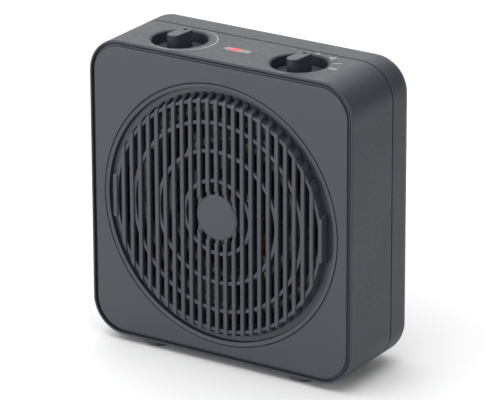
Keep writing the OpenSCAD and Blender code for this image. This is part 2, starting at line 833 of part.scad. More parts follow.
module mount_screws() {
    color(steel) on_axis() at_diagonals(mount_ear_r) translate([0, mount_at + mount_t, 0])
        mirror([0, 1, 0]) screw(2.8, 1.8, screw_r, 6);
}
// A cylinder along X from x0
module cross_rod(r, x0, l) {
    translate([x0, 0, 0]) rotate([0, 90, 0]) cylinder(r = r, h = l);
}
// Moves children to the middle of each of the block's three poles
module at_poles() {
    translate(block + [0, 0, pole_z]) for (i = [-1:1]) translate([0, i * pole_pitch, 0])
        children();
}
module terminal_block() {
    color([0.9, 0.9, 0.88]) difference() {
        translate(block - [block_size[0] / 2, block_size[1] / 2, 0]) cube(block_size);
        at_poles() {
            cross_rod(insert_r + ease, -block_size[0] / 2 - 1, block_size[0] + 2);
            for (x = [-pole_screw_x, pole_screw_x]) translate([x, 0, 0]) cylinder(r = 2.2, h = 10);
        }
    }
}
module terminal_inserts() {
    wire_hole = 3.5;
    color(brass) at_poles() difference() {
        union() {
            cross_rod(insert_r, -insert_l / 2, insert_l);
            for (x = [-pole_screw_x, pole_screw_x]) translate([x, 0, 0])
                cylinder(r = 1.8, h = 6.5);
        }
        cross_rod(insert_bore_r, -insert_l / 2 - 1, wire_hole);
        cross_rod(insert_bore_r, insert_l / 2 + 1 - wire_hole, wire_hole);
    }
}
module cord_gland() {
    from = rear - wall - gland_flange_t;
    color(plastic_dark) translate([gland_x, 0, gland_z]) difference() {
        union() {
            rod(gland_collar_r, rear - gland_collar_t, rear);
            rod(gland_neck_r, from, rear);
            rod(gland_flange_r, from, rear - wall);
        }
        rod(gland_bore_r, from - 1, rear + 1);
    }
}
module wire_live() {
    pole = block + [0, -pole_pitch, pole_z];
    color([0.35, 0.2, 0.12]) wire([pole - [5, 0, 0], pole - [12, 0, 0], [-97, -10, 60],
        [-99, -8, 170], [-80, knob_y + 12, 204], [-knob_x - 6, knob_y + 12, tab_z]], wire_r);
}
module wire_neutral() {
    pole = block + [0, 0, pole_z];
    color([0.15, 0.3, 0.6]) wire([pole - [5, 0, 0], pole - [12, 0, 0], [-97, 6, 60],
        [-98, 12, 150], [-72, 12, 198], [-10, 4, 203], [2.6, -4.2, 201], [2.6, -4.6, 188],
        [2.6, -3.6, axis_z + 60]], wire_r);
}
module wire_link() {
    color([0.12, 0.12, 0.12]) wire([[6 - knob_x, knob_y + 12, tab_z],
        [-30, knob_y + 16, tab_z + 4], [30, knob_y + 16, tab_z + 4],
        [knob_x - 6, knob_y + 14, tab_z]], wire_r);
}
module wire_heat() {
    color([0.65, 0.1, 0.08]) wire([[knob_x + 6, knob_y + 14, tab_z], [44, 8, 203],
        [12, 1.4, 202], [7.2, -1.4, 196], [6, -1.2, 188], [2.6, -1, axis_z + 68]], wire_r);
}
module wire_motor() {
    color([0.12, 0.12, 0.12]) wire([[knob_x - 6, knob_y - 14, tab_z], [74, knob_y - 10, 196],
        [97, -4, 160], [98, seam + 8, 100], [60, seam + 18, 56],
        [16.4, front + stack_to + 2.5, 65.5]], wire_r);
}

front_shell();
front_panel();
front_grille();
rear_shell();
foot_front_left();
foot_front_right();
foot_rear_left();
foot_rear_right();
foot_screws();
shell_screws();
indicator_lens();
indicator_lamp();
lamp_holder();
thermostat_knob();
thermostat_spindle();
thermostat_body();
mode_knob();
mode_spindle();
mode_switch_body();
control_screws();
heater_duct();
duct_screws();
mica_board_upright();
mica_board_level();
heating_coil_outer();
heating_coil_inner();
element_terminals();
thermal_cutout();
thermal_fuse();
fan_impeller();
fan_clip();
motor_shaft();
motor_rotor();
motor_stator();
motor_coil();
motor_bobbin();
bearing_front();
bearing_rear();
motor_bracket_front();
motor_bracket_rear();
motor_bolts();
motor_nuts();
motor_mount();
mount_screws();
terminal_block();
terminal_inserts();
cord_gland();
wire_live();
wire_neutral();
wire_link();
wire_heat();
wire_motor();
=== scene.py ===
"""Compact fan heater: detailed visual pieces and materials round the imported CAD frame.

Metres, in the frame of the CAD part: +Z up, the outlet faces -Y, the origin is under the
middle of the object. Places come from the boxes of the CAD nodes and from the record.
"""

import json
import math

import bmesh
import bpy
import numpy as np
from mathutils import Matrix, Vector


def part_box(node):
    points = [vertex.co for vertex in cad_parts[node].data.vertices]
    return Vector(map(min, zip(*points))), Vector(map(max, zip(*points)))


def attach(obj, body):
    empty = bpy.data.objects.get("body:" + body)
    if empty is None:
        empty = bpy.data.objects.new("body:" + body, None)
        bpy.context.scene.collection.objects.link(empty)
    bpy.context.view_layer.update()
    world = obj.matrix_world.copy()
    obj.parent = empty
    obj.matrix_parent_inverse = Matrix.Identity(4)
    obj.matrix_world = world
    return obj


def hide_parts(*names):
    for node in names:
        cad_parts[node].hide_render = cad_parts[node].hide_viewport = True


MM = 0.001

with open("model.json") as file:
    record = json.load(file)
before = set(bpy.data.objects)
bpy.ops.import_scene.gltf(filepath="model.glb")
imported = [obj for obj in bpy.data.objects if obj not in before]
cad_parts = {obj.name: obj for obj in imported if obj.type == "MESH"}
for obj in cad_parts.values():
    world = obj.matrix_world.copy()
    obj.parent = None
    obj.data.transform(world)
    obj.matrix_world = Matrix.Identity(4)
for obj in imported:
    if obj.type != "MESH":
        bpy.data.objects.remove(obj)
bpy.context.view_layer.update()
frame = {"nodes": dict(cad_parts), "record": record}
NODES = frame["nodes"]
RECORD = frame["record"]

# Stations taken from the CAD nodes
GRILLE_LOW, GRILLE_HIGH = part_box("front_grille")
SHELL_LOW, SHELL_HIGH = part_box("front_shell")
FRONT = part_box("front_panel")[0].y
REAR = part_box("rear_shell")[1].y
TOP = SHELL_HIGH.z
BASE = SHELL_LOW.z
HALF_W = SHELL_HIGH.x
AXIS_Z = (GRILLE_LOW.z + GRILLE_HIGH.z) / 2
AXIS = (0, 0, AXIS_Z)
BEZEL_R = GRILLE_HIGH.x
PROUD = FRONT - GRILLE_LOW.y
# the corners of a square, in order
CORNERS = ((-1, -1), (1, -1), (1, 1), (-1, 1))


def middle_of(node):
    low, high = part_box(node)
    return (low + high) / 2


def axis_of(node, axis="Z"):
    """The middle of a node, moved along an axis to the plane through the origin."""
    place = middle_of(node)
    place["XYZ".index(axis)] = 0
    return place


LAMP = middle_of("indicator_lamp")


# -------- materials
class Nodes:
    """A material under construction, with small helpers over its node tree. Sizes in mm."""

    def __init__(self, name):
        self.material = bpy.data.materials.new(name)
        self.material.use_nodes = True
        self.tree = self.material.node_tree
        self.shader = self.tree.nodes["Principled BSDF"]
        self.coords = self.add("ShaderNodeTexCoord").outputs["Object"]

    def add(self, kind, **settings):
        node = self.tree.nodes.new(kind)
        for key, value in settings.items():
            setattr(node, key, value)
        return node

    def link(self, start, end):
        self.tree.links.new(start, end)

    def set(self, **values):
        """Fixed inputs of the shader, written with _ for a space."""
        for key, value in values.items():
            self.shader.inputs[key.replace("_", " ")].default_value = value

    def noise(self, size, detail=3.0, rough=0.55, stretch=(1, 1, 1)):
        """Noise whose features are about size across."""
        mapping = self.add("ShaderNodeMapping")
        mapping.inputs["Scale"].default_value = stretch
        self.link(self.coords, mapping.inputs["Vector"])
        node = self.add("ShaderNodeTexNoise")
        node.inputs["Scale"].default_value = 1 / (size * MM)
        node.inputs["Detail"].default_value = detail
        node.inputs["Roughness"].default_value = rough
        self.link(mapping.outputs["Vector"], node.inputs["Vector"])
        return node.outputs["Fac"]

    def cells(self, size):
        """Random tones in cells about size across."""
        node = self.add("ShaderNodeTexVoronoi", feature="F1")
        node.inputs["Scale"].default_value = 1 / (size * MM)
        self.link(self.coords, node.inputs["Vector"])
        return node.outputs["Color"]

    def ramp(self, factor, low, high, start=0.3, end=0.7):
        """A colour or grey that runs from low to high as factor goes from start to end."""
        node = self.add("ShaderNodeValToRGB")
        for stop, tone, at in zip(node.color_ramp.elements, (low, high), (start, end)):
            stop.position = at
            stop.color = (*tone, 1) if isinstance(tone, tuple) else (tone, tone, tone, 1)
        self.link(factor, node.inputs["Fac"])
        return node.outputs["Color"]

    def colour(self, *ramp):
        self.link(self.ramp(*ramp), self.shader.inputs["Base Color"])

    def roughness(self, *ramp):
        self.link(self.ramp(*ramp), self.shader.inputs["Roughness"])

    def bump(self, depth, *heights):
        """Stacks the heights, each with half the depth of the one before."""
        normal = None
        for height in heights:
            node = self.add("ShaderNodeBump")
            node.inputs["Distance"].default_value = depth * MM
            self.link(height, node.inputs["Height"])
            if normal is not None:
                self.link(normal, node.inputs["Normal"])
            normal = node.outputs["Normal"]
            depth /= 2
        self.link(normal, self.shader.inputs["Normal"])


# how far along a factor the colours of cells and wave lines run
WIDE_SPAN = (0.1, 0.9)
LINE_SPAN = (0.2, 0.8)


def grained(name, dark, light, tone, gloss, rough, grain, depth, **settings):
    """Material whose colour, roughness and bump follow three noises of (size, detail)."""
    m = Nodes(name)
    m.colour(m.noise(*tone), dark, light)
    m.roughness(m.noise(*gloss), *rough)
    m.bump(depth, m.noise(*grain))
    m.set(**settings)
    return m.material


def moulded(name, dark, light, grain=0.7, depth=0.02, rough=(0.42, 0.56), shine=0.3):
    """Grained moulded plastic: fine spark-eroded texture over slow changes of tone."""
    m = Nodes(name)
    m.colour(m.noise(55, 2), dark, light)
    m.roughness(m.noise(3, 5, 0.65), *rough)
    m.bump(depth, m.noise(grain, 4, 0.6), m.noise(grain * 0.35, 2))
    m.set(IOR=1.5, Specular_IOR_Level=shine)
    return m.material


def bare_metal(name, dark, light, rough=(0.22, 0.4), stretch=(1, 1, 1)):
    """Metal with fine streaks, which stretch can draw out."""
    m = Nodes(name)
    streaks = m.noise(1.2, 5, 0.6, stretch)
    m.colour(streaks, dark, light)
    m.roughness(m.noise(2.4, 4, 0.6, stretch), *rough)
    m.bump(0.004, streaks)
    m.set(Metallic=1.0)
    return m.material


def flaked(name, dark, light, size, rough, grain, depth, **settings):
    """Surface of flat flakes: zinc's spangle, or pressed mica."""
    m = Nodes(name)
    flakes = m.cells(size)
    m.colour(flakes, dark, light, *WIDE_SPAN)
    m.roughness(flakes, *rough, *WIDE_SPAN)
    m.bump(depth, m.noise(*grain))
    m.set(**settings)
    return m.material


def rubber(name, tone):
    """Matt rubber round a grey tone."""
    dark, light = (tone, tone, tone * 1.05), (tone * 1.7,) * 3
    return grained(name, dark, light, (12, 4), (2, 4), (0.6, 0.8), (0.5, 4), 0.025)


def insulation(name, dark, light):
    """Coloured sleeve of a wire."""
    return grained(name, dark, light, (20, 3), (3, 3), (0.35, 0.5), (0.8, 3), 0.008)


def laminations(name, dark, light):
    """The edges of stacked steel sheets, seen as fine lines across the stack."""
    m = Nodes(name)
    lines = m.add("ShaderNodeTexWave", wave_type="BANDS", bands_direction="Y", wave_profile="SIN")
    lines.inputs["Scale"].default_value = 200
    lines.inputs["Distortion"].default_value = 0.3
    m.link(m.coords, lines.inputs["Vector"])
    m.colour(lines.outputs["Fac"], dark, light, *LINE_SPAN)
    m.roughness(m.noise(4, 4), 0.35, 0.6)
    m.bump(0.03, lines.outputs["Fac"])
    m.set(Metallic=1.0)
    return m.material


def frosted_lens(name, place, glow):
    """Frosted grey lens with a painted oval red glow about place: emission and a red tint that stand
    in for the lamp below shining through it.
    """
    m = Nodes(name)
    reach = m.coords
    for operation, value in (("SUBTRACT", place), ("DIVIDE", glow), ("LENGTH", None)):
        step = m.add("ShaderNodeVectorMath", operation=operation)
        m.link(reach, step.inputs[0])
        if value:
            step.inputs[1].default_value = value
        reach = step.outputs["Value" if operation == "LENGTH" else "Vector"]
    # painted glow: the lens itself gives off red light about place
    m.link(m.ramp(reach, (1.0, 0.02, 0.03), 0.0, 0.2, 1.0), m.shader.inputs["Emission Color"])
    # painted light: the base colour turns red about place, as if lit by the lamp below
    blend = m.add("ShaderNodeMix", data_type="RGBA")
    # inputs 6 and 7 and output 2 of a Mix node are its colours
    m.link(m.ramp(reach, 0.0, 1.0, 0.35, 0.95), blend.inputs["Factor"])
    m.link(m.ramp(m.noise(1.5, 4), (0.2, 0.01, 0.012), (0.24, 0.02, 0.02)), blend.inputs[6])
    m.link(m.ramp(m.noise(1.5, 4), (0.15, 0.16, 0.16), (0.19, 0.2, 0.2)), blend.inputs[7])
    m.link(blend.outputs[2], m.shader.inputs["Base Color"])
    m.roughness(m.noise(1, 3), 0.4, 0.5)
    m.bump(0.015, m.noise(0.5, 3))
    m.set(Specular_IOR_Level=0.3, Emission_Strength=0.8)
    return m.material


def neon_lamp(name, dark, light):
    """Small glowing lamp under the lens."""
    noises, glow = ((2, 3), (3, 2), (0.08, 0.15), (1, 2), 0.005), (1.0, 0.12, 0.04, 1)
    return grained(name, dark, light, *noises, Emission_Color=glow, Emission_Strength=2.0)


def heater_wire(name, dark, light):
    """Resistance wire, grey-brown from its oxide, in tones kept dark as painted shade of the
    heater's inside.
    """
    noises = ((5, 3), (1, 3), (0.28, 0.45), (0.2, 2))
    return grained(name, dark, light, *noises, 0.003, Metallic=0.9)


def galvanised(name, dark, light):
    """Zinc-coated sheet with its faint spangle of crystals."""
    return flaked(name, dark, light, 5, (0.3, 0.45), (0.8, 3), 0.006, Metallic=1.0)


def mica_sheet(name, dark, light):
    """Pressed mica, browned by heat; the very dark tones it is given are painted shade of the
    heater's inside.
    """
    return flaked(name, dark, light, 2.2, (0.28, 0.5), (1.5, 5), 0.02, Specular_IOR_Level=0.2)


CHARCOAL = ((0.034, 0.038, 0.049), (0.040, 0.044, 0.056))
# middle and half width and depth of the lamp's glow, painted on the lens
GLOW_AT, GLOW_REACH = (LAMP.x - 1.6 * MM, LAMP.y, TOP), (7.5 * MM, 3.6 * MM, 1)
# how each slot of the record is made
MAKERS = {
    "housing_plastic": (moulded, *CHARCOAL),
    "panel_plastic": (moulded, *CHARCOAL, 0.6, 0.012, (0.3, 0.42), 0.4),
    "grille_plastic": (moulded, *CHARCOAL, 0.6, 0.005, (0.27, 0.35), 0.45),
    "knob_plastic": (moulded, *CHARCOAL, 0.6, 0.012, (0.4, 0.5)),
    "inner_plastic": (moulded, (0.02, 0.02, 0.021), (0.035, 0.035, 0.037)),
    "fan_plastic": (moulded, (0.009, 0.009, 0.01), (0.013, 0.013, 0.014)),
    "bobbin_plastic": (moulded, (0.55, 0.5, 0.38), (0.64, 0.6, 0.47)),
    "block_plastic": (moulded, (0.68, 0.68, 0.65), (0.76, 0.76, 0.73)),
    "foot_rubber": (rubber, 0.04),
    "gland_rubber": (rubber, 0.02),
    "screw_steel": (bare_metal, (0.35, 0.35, 0.36), (0.5, 0.5, 0.51)),
    "shaft_steel": (bare_metal, (0.5, 0.5, 0.51), (0.65, 0.65, 0.66), (0.15, 0.25)),
    "terminal_brass": (bare_metal, (0.62, 0.45, 0.18), (0.78, 0.6, 0.28)),
    "fuse_metal": (bare_metal, (0.5, 0.5, 0.5), (0.7, 0.7, 0.7)),
    "rotor_steel": (bare_metal, (0.3, 0.3, 0.31), (0.45, 0.45, 0.46), (0.22, 0.4), (1, 8, 1)),
    "bearing_bronze": (bare_metal, (0.42, 0.27, 0.13), (0.55, 0.37, 0.2), (0.35, 0.55)),
    "bracket_zinc": (bare_metal, (0.42, 0.42, 0.43), (0.56, 0.56, 0.57), (0.4, 0.55)),
    "lens_plastic": (frosted_lens, GLOW_AT, GLOW_REACH),
    "lamp_glass": (neon_lamp, (0.75, 0.18, 0.08), (0.9, 0.3, 0.15)),
    "thermostat_ceramic": (
        grained, (0.52, 0.48, 0.40), (0.68, 0.64, 0.56), (3, 5), (2, 4), (0.45, 0.7), (0.6, 4), 0.03
    ),
    # the duct's tones are far darker than zinc: painted shade of the heater's deep inside
    "duct_steel": (galvanised, (0.04, 0.04, 0.041), (0.08, 0.08, 0.082)),
    # the mica's brown hue is its own; its near-black darkness is painted shade of the heater's
    # inside
    "mica_board": (mica_sheet, (0.02, 0.014, 0.008), (0.045, 0.034, 0.02)),
    # the wire's grey-brown is its oxide; its lowered tones are partly painted shade of the heater's
    # inside
    "heating_wire": (heater_wire, (0.25, 0.235, 0.21), (0.45, 0.42, 0.38)),
    "lamination_steel": (laminations, (0.16, 0.16, 0.17), (0.42, 0.42, 0.44)),
    "copper_winding": (
        grained, (0.35, 0.11, 0.035), (0.5, 0.18, 0.06), (6, 3), (2, 3), (0.25, 0.4), (0.4, 2), 0.005
    ),
    "wire_brown": (insulation, (0.09, 0.04, 0.02), (0.14, 0.06, 0.03)),
    "wire_blue": (insulation, (0.02, 0.09, 0.32), (0.04, 0.13, 0.42)),
    "wire_black": (insulation, (0.01, 0.01, 0.01), (0.02, 0.02, 0.02)),
    "wire_red": (insulation, (0.35, 0.02, 0.015), (0.5, 0.04, 0.03)),
}
FINISHES = {slot: maker(slot, *values) for slot, (maker, *values) in MAKERS.items()}
# thin pale print, a little worn
PRINT = grained(
    "pale_print", (0.36,) * 3, (0.46,) * 3, (2, 5), (1, 3), (0.45, 0.6), (0.3, 3), 0.004
)


def dress_cad_nodes():
    """Each CAD node that stays takes the material of its slot."""
    for part in RECORD["subparts"]:
        mesh = NODES[part["node"]].data
        mesh.materials.clear()
        mesh.materials.append(FINISHES[part["material_slot"]])


# -------- mesh building
# points nearer to each other than this become one
WELD = 2e-6


def filleted(corners, steps=5, closed=True):
    """A 2D outline from (a, b, fillet) corners, each rounded by its fillet, which is in mm."""
    outline, count = [], len(corners)
    for i, (a, b, fillet) in enumerate(corners):
        here, radius = np.array((a, b), float), fillet * MM
        if radius <= 0 or (not closed and i in (0, count - 1)):
            outline.append(here)
            continue
        before = np.array(corners[i - 1][:2], float) - here
        after = np.array(corners[(i + 1) % count][:2], float) - here
        before /= np.linalg.norm(before)
        after /= np.linalg.norm(after)
        half = math.acos(max(-1.0, min(1.0, float(before @ after)))) / 2
        reach = radius / math.tan(half)
        middle = (before + after) / np.linalg.norm(before + after)
        centre = here + middle * radius / math.sin(half)
        start, end = here + before * reach - centre, here + after * reach - centre
        turn = math.pi - 2 * half
        for k in range(steps + 1):
            w = k / steps
            arm = math.sin((1 - w) * turn) * start + math.sin(w * turn) * end
            outline.append(centre + arm / math.sin(turn))
    return outline


class Shape:
    """Vertices and faces of one or more closed solids, gathered before they become a piece."""

    def __init__(self):
        self.points, self.faces = [], []

    def loops(self, loops, close=False, cap_start=False, cap_end=False):
        """Skin over a row of point loops of the same length."""
        base, count = len(self.points), len(loops[0])
        for loop in loops:
            self.points += [tuple(map(float, p)) for p in loop]
        rows = len(loops)
        for i in range(rows if close else rows - 1):
            a, b = base + i * count, base + (i + 1) % rows * count
            for k in range(count):
                n = (k + 1) % count
                self.faces.append((a + k, a + n, b + n, b + k))
        if cap_start:
            self.faces.append(tuple(range(base + count - 1, base - 1, -1)))
        if cap_end:
            self.faces.append(tuple(range(base + (rows - 1) * count, base + rows * count)))
        return self

    def lathe(self, profile, place, axis="Y", segments=96, closed=True, steps=4):
        """A (radius, along) profile, or one with fillets, turned about an axis through place."""
        if len(profile[0]) == 3:
            profile = filleted(profile, steps, closed)
        loops = []
        for radius, along in profile:
            radius = max(float(radius), 1e-7)
            loop = []
            for k in range(segments):
                t = 2 * math.pi * k / segments
                a, b = radius * math.cos(t), radius * math.sin(t)
                offset = (a, along, b) if axis == "Y" else (a, b, along)
                loop.append([place[j] + offset[j] for j in range(3)])
            loops.append(loop)
        if closed:
            return self.loops(loops, close=True)
        return self.loops(loops, cap_start=True, cap_end=True)

    def prism(self, sections):
        """Stacked outlines, capped at both ends."""
        return self.loops(sections, cap_start=True, cap_end=True)

    def merge(self, other):
        base = len(self.points)
        self.points += other.points
        self.faces += [tuple(v + base for v in face) for face in other.faces]


def placed(name, data):
    obj = bpy.data.objects.new(name, data)
    bpy.context.scene.collection.objects.link(obj)
    return obj


def plain_object(name, shape):
    """A shape as an object, with near points welded and normals that point out."""
    mesh = bpy.data.meshes.new(name)
    mesh.from_pydata(shape.points, [], shape.faces)
    bm = bmesh.new()
    bm.from_mesh(mesh)
    bmesh.ops.remove_doubles(bm, verts=bm.verts, dist=WELD)
    bmesh.ops.dissolve_degenerate(bm, edges=bm.edges, dist=WELD / 2)
    bmesh.ops.recalc_face_normals(bm, faces=bm.faces)
    bm.to_mesh(mesh)
    bm.free()
    return placed(name, mesh)


def combine(obj, operation, *tools):
    """Booleans of obj with other shapes, one after another, applied to obj's mesh."""
    for tool in tools:
        cutter = plain_object(obj.name + "_tool", tool)
        modifier = obj.modifiers.new("boolean", "BOOLEAN")
        modifier.operation = operation
        modifier.solver = "MANIFOLD"
        modifier.object = cutter
        bpy.context.view_layer.update()
        shown = obj.evaluated_get(bpy.context.evaluated_depsgraph_get())
        result = bpy.data.meshes.new_from_object(shown)
        obj.modifiers.clear()
        obj.data = result
        bpy.data.objects.remove(cutter)


def settle(obj, slot=None, node=None, body="housing", finish=None, sharp=32, smooth_flats=True):
    """Shading, material from its slot, and body of a finished piece, which may stand for a CAD node.
    """
    mesh = obj.data
    mesh.materials.clear()
    mesh.materials.append(finish or FINISHES[slot])
    mesh.shade_smooth()
    mesh.set_sharp_from_angle(angle=math.radians(sharp))
    if smooth_flats:
        weights = obj.modifiers.new("normals", "WEIGHTED_NORMAL")
        weights.keep_sharp = True
        weights.weight = 100
    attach(obj, body)
    if node:
        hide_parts(node)


def piece(name, shape, *about, **looks):
    settle(plain_object(name, shape), *about, **looks)


# -------- housing
WALL = 2.2 * MM
CORNER_R = 26 * MM
ARC_STEPS = 20
EDGE_STEPS = 32


def body_loop(inset, y):
    """The housing's outline pulled in by inset, as a loop of points in the plane y."""
    radius = max(CORNER_R - inset, 0.2 * MM)
    right, top, bottom = HALF_W - inset - radius, TOP - inset - radius, BASE + inset + radius
    corners = ((right, top), (-right, top), (-right, bottom), (right, bottom))
    loop = []
    for quarter, (cx, cz) in enumerate(corners):
        for k in range(ARC_STEPS + 1):
            t = math.pi / 2 * (quarter + k / ARC_STEPS)
            loop.append((cx + radius * math.cos(t), y, cz + radius * math.sin(t)))
        nx, nz = corners[(quarter + 1) % 4]
        t = math.pi / 2 * (quarter + 1)
        start = loop[-1]
        end = (nx + radius * math.cos(t), y, nz + radius * math.sin(t))
        for k in range(1, EDGE_STEPS):
            w = 0.5 - 0.5 * math.cos(math.pi * k / EDGE_STEPS)
            loop.append(tuple(a + w * (b - a) for a, b in zip(start, end)))
    return loop


def round_hole(radius, y):
    """A circle about the outlet's axis with one point on the ray of each outline point."""
    loop = []
    for x, _, z in body_loop(0, 0):
        t = math.atan2(z - AXIS_Z, x)
        loop.append((radius * math.cos(t), y, AXIS_Z + radius * math.sin(t)))
    return loop


def profile_loops(corners, steps=5):
    """Housing loops for a filleted (inset, y) profile."""
    return [body_loop(inset, y) for inset, y in filleted(corners, steps, closed=False)]


CONTROLS = ("thermostat", "mode")
WELL_R, WELL_FLOOR, BORE_R = 20.5 * MM, TOP - 9.5 * MM, 5 * MM
RIM_T = 1.6 * MM
POST_R, POST_INSET = 4.5 * MM, 15 * MM
BULKHEAD_AT, BULKHEAD_T, BULKHEAD_HOLE_R = 3 * MM, 2 * MM, 96 * MM
SEAM = SHELL_HIGH.y
REAR_START = SEAM + 1.1 * MM
REAR_FILLET = 12
LIP_INSET, LIP_T = 2.35 * MM, 1.15 * MM
# the screws' heads sit at the bottom of wells in the back
HEAD_Y, HEAD_WELL_R = REAR - 12 * MM, 3.4 * MM
SLOT_W, SLOT_PITCH, SLOT_COLUMNS, SLOT_DEEP, FLARE = 2.3 * MM, 6 * MM, 25, 4.8 * MM, 0.3 * MM
SLOT_BANDS = ((15 * MM, 33.5 * MM), (36.5 * MM, 55.5 * MM), (58.5 * MM, 76 * MM))
PAD_R = 78 * MM
LENS_L, LENS_W = 23 * MM, 7 * MM


def pill_loop(centre, length, width, z, steps=12, along="X"):
    """A stadium outline in the plane z."""
    reach, radius = (length - width) / 2, width / 2
    loop = []
    for side in (1, -1):
        for k in range(steps + 1):
            t = -math.pi / 2 + math.pi * k / steps + (0 if side > 0 else math.pi)
            a, b = side * reach + radius * math.cos(t), radius * math.sin(t)
            if along == "Y":
                a, b = -b, a
            loop.append((centre.x + a, centre.y + b, z))
    return loop


def post_places(y):
    """Points on the axes of the four screw posts, in the plane y."""
    levels = (BASE + POST_INSET, TOP - POST_INSET)
    return [(side * (HALF_W - POST_INSET), y, z) for side in (-1, 1) for z in levels]


def posts(y0, y1):
    shape = Shape()
    profile = [(1 * MM, y0), (POST_R, y0), (POST_R, y1), (1 * MM, y1)]
    for place in post_places(0):
        shape.lathe(profile, place, "Y", 32, False)
    return shape


def make_front_shell():
    """Outer skin of the front: rim, bulkhead with its round hole, knob wells and lens slot."""
    corners = [
        (WALL, FRONT + BULKHEAD_AT + BULKHEAD_T, 0),
        (WALL, SEAM, 0.3),
        (0, SEAM, 0.25),
        (0, FRONT, 0.8),
        (RIM_T, FRONT, 0.3),
        (RIM_T, FRONT + BULKHEAD_AT, 0),
    ]
    loops = profile_loops(corners, 6)
    loops.append(round_hole(BULKHEAD_HOLE_R, FRONT + BULKHEAD_AT))
    loops.append(round_hole(BULKHEAD_HOLE_R, FRONT + BULKHEAD_AT + BULKHEAD_T))
    shell = plain_object("front_shell_skin", Shape().loops(loops, close=True))

    cups, wells, bores, grooves = Shape(), Shape(), Shape(), Shape()
    outer = WELL_R + WALL
    for control in CONTROLS:
        place = axis_of(control + "_knob")
        cups.lathe([(outer, WELL_FLOOR - WALL), (outer, TOP - 0.6 * MM)], place, "Z", 96, False)
        rim = [
            (1 * MM, WELL_FLOOR, 0),
            (WELL_R - 0.2 * MM, WELL_FLOOR, 1.2),
            (WELL_R - 0.2 * MM, TOP - 0.7 * MM, 0.3),
            (WELL_R + 0.7 * MM, TOP, 0.15),
            (WELL_R + 1.0 * MM, TOP + 0.9 * MM, 0),
        ]
        groove = [
            (WELL_R + 0.8 * MM, TOP - 0.6 * MM),
            (WELL_R + 1.15 * MM, TOP - 0.6 * MM),
            (WELL_R + 1.3 * MM, TOP + 0.5 * MM),
            (WELL_R + 0.7 * MM, TOP + 0.5 * MM),
        ]
        grooves.lathe(groove, place, "Z", 128)
        wells.lathe(rim, place, "Z", 128, False)
        bore = [(BORE_R, WELL_FLOOR - 3 * MM), (BORE_R, WELL_FLOOR + 2 * MM)]
        bores.lathe(bore, place, "Z", 48, False)
    combine(shell, "UNION", cups, posts(FRONT + 4 * MM, SEAM - 5 * MM))
    lens = middle_of("indicator_lens")
    levels = ((0.4 * MM, TOP - 5 * MM), (0.4 * MM, TOP - 0.25 * MM), (2.4 * MM, TOP + 0.75 * MM))
    slot = [pill_loop(lens, LENS_L + spare, LENS_W + spare, z) for spare, z in levels]
    combine(shell, "DIFFERENCE", wells, grooves, bores, Shape().prism(slot))
    settle(shell, "housing_plastic", "front_shell")


def slot_outlines(x, inner, outer):
    """(x, z) outlines of one column's slots in a band: one across the middle, or two."""
    samples = [x - SLOT_W / 2 + SLOT_W * k / 4 for k in range(5)]
    high = [(u, math.sqrt(outer**2 - u**2)) for u in samples]
    low = [(u, math.sqrt(max(inner**2 - u**2, 0.0))) for u in samples]
    if abs(x) - SLOT_W / 2 >= inner or min(v for _, v in low) <= 0:
        return [high + [(u, -v) for u, v in reversed(high)]]
    upper = high + low[::-1]
    return [upper, [(u, -v) for u, v in reversed(upper)]]


def flared(outline, grow, y):
    """A slot's outline in the plane y, wider by grow on every side."""
    middle = np.mean(outline, axis=0)
    scale = 1 + 2 * grow / np.array((SLOT_W, np.ptp(outline, axis=0)[1]))
    return [(u, y, AXIS_Z + v) for u, v in middle + (outline - middle) * scale]


def slot_cutters():
    """Upright slots of the rear grille, split by the middle disc and two rings."""
    levels = ((0, REAR - 6 * MM), (0, REAR - FLARE), (2 * FLARE, REAR + FLARE))
    shape = Shape()
    for column in range(SLOT_COLUMNS):
        x = (column - SLOT_COLUMNS // 2) * SLOT_PITCH
        for inner, outer in SLOT_BANDS:
            if abs(x) + SLOT_W / 2 < outer - 1 * MM:
                for outline in slot_outlines(x, inner, outer):
                    shape.prism([flared(outline, grow, y) for grow, y in levels])
    return shape


def make_rear_shell():
    """Back half of the housing with its locating lip, slots, screw wells and cord hole."""
    lip_in = LIP_INSET + LIP_T
    corners = [
        (45 * MM, REAR - WALL, 0),
        (lip_in, REAR - WALL, REAR_FILLET - WALL / MM),
        (lip_in, SEAM - 4 * MM, 0.2),
        (LIP_INSET, SEAM - 4 * MM, 0.3),
        (LIP_INSET, REAR_START, 0),
        (0, REAR_START, 0.25),
        (0, REAR, REAR_FILLET),
        (45 * MM, REAR, 0),
    ]
    shape = Shape().loops(profile_loops(corners, 10), cap_start=True, cap_end=True)
    shell = plain_object("rear_shell_skin", shape)
    pad = [(1 * MM, REAR - SLOT_DEEP), (PAD_R, REAR - SLOT_DEEP)]
    pad += [(PAD_R, REAR - 1 * MM), (1 * MM, REAR - 1 * MM)]
    backing = Shape().lathe(pad, AXIS, "Y", 128, False)
    combine(shell, "UNION", posts(SEAM - 5 * MM, REAR - 2 * MM), backing)
    # a recess leaves the motor's rear bracket and its shaft clear of the backing
    low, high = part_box("motor_bracket_rear")
    gap, (across, _, tall) = 0.3 * MM, (high - low) / 2
    ends = [(a * (across + gap), AXIS_Z + b * (tall + gap)) for a, b in CORNERS]
    recess = [[(x, y, z) for x, z in ends] for y in (REAR - 7 * MM, high.y + gap)]
    holes = Shape()
    well = [
        (HEAD_WELL_R, HEAD_Y),
        (HEAD_WELL_R, REAR - 0.7 * MM),
        (HEAD_WELL_R + 1.5 * MM, REAR + 0.8 * MM),
    ]
    for place in post_places(0):
        holes.lathe(well, place, "Y", 48, False)
    profile = [(6 * MM, REAR - 8 * MM), (6 * MM, REAR - 1 * MM), (8.5 * MM, REAR - 1 * MM)]
    profile += [(8.5 * MM, REAR - 0.3 * MM), (9.6 * MM, REAR + 0.8 * MM)]
    holes.lathe(profile, axis_of("cord_gland", "Y"), "Y", 64, False)
    combine(shell, "DIFFERENCE", Shape().prism(recess), slot_cutters(), holes)
    settle(shell, "housing_plastic", "rear_shell")


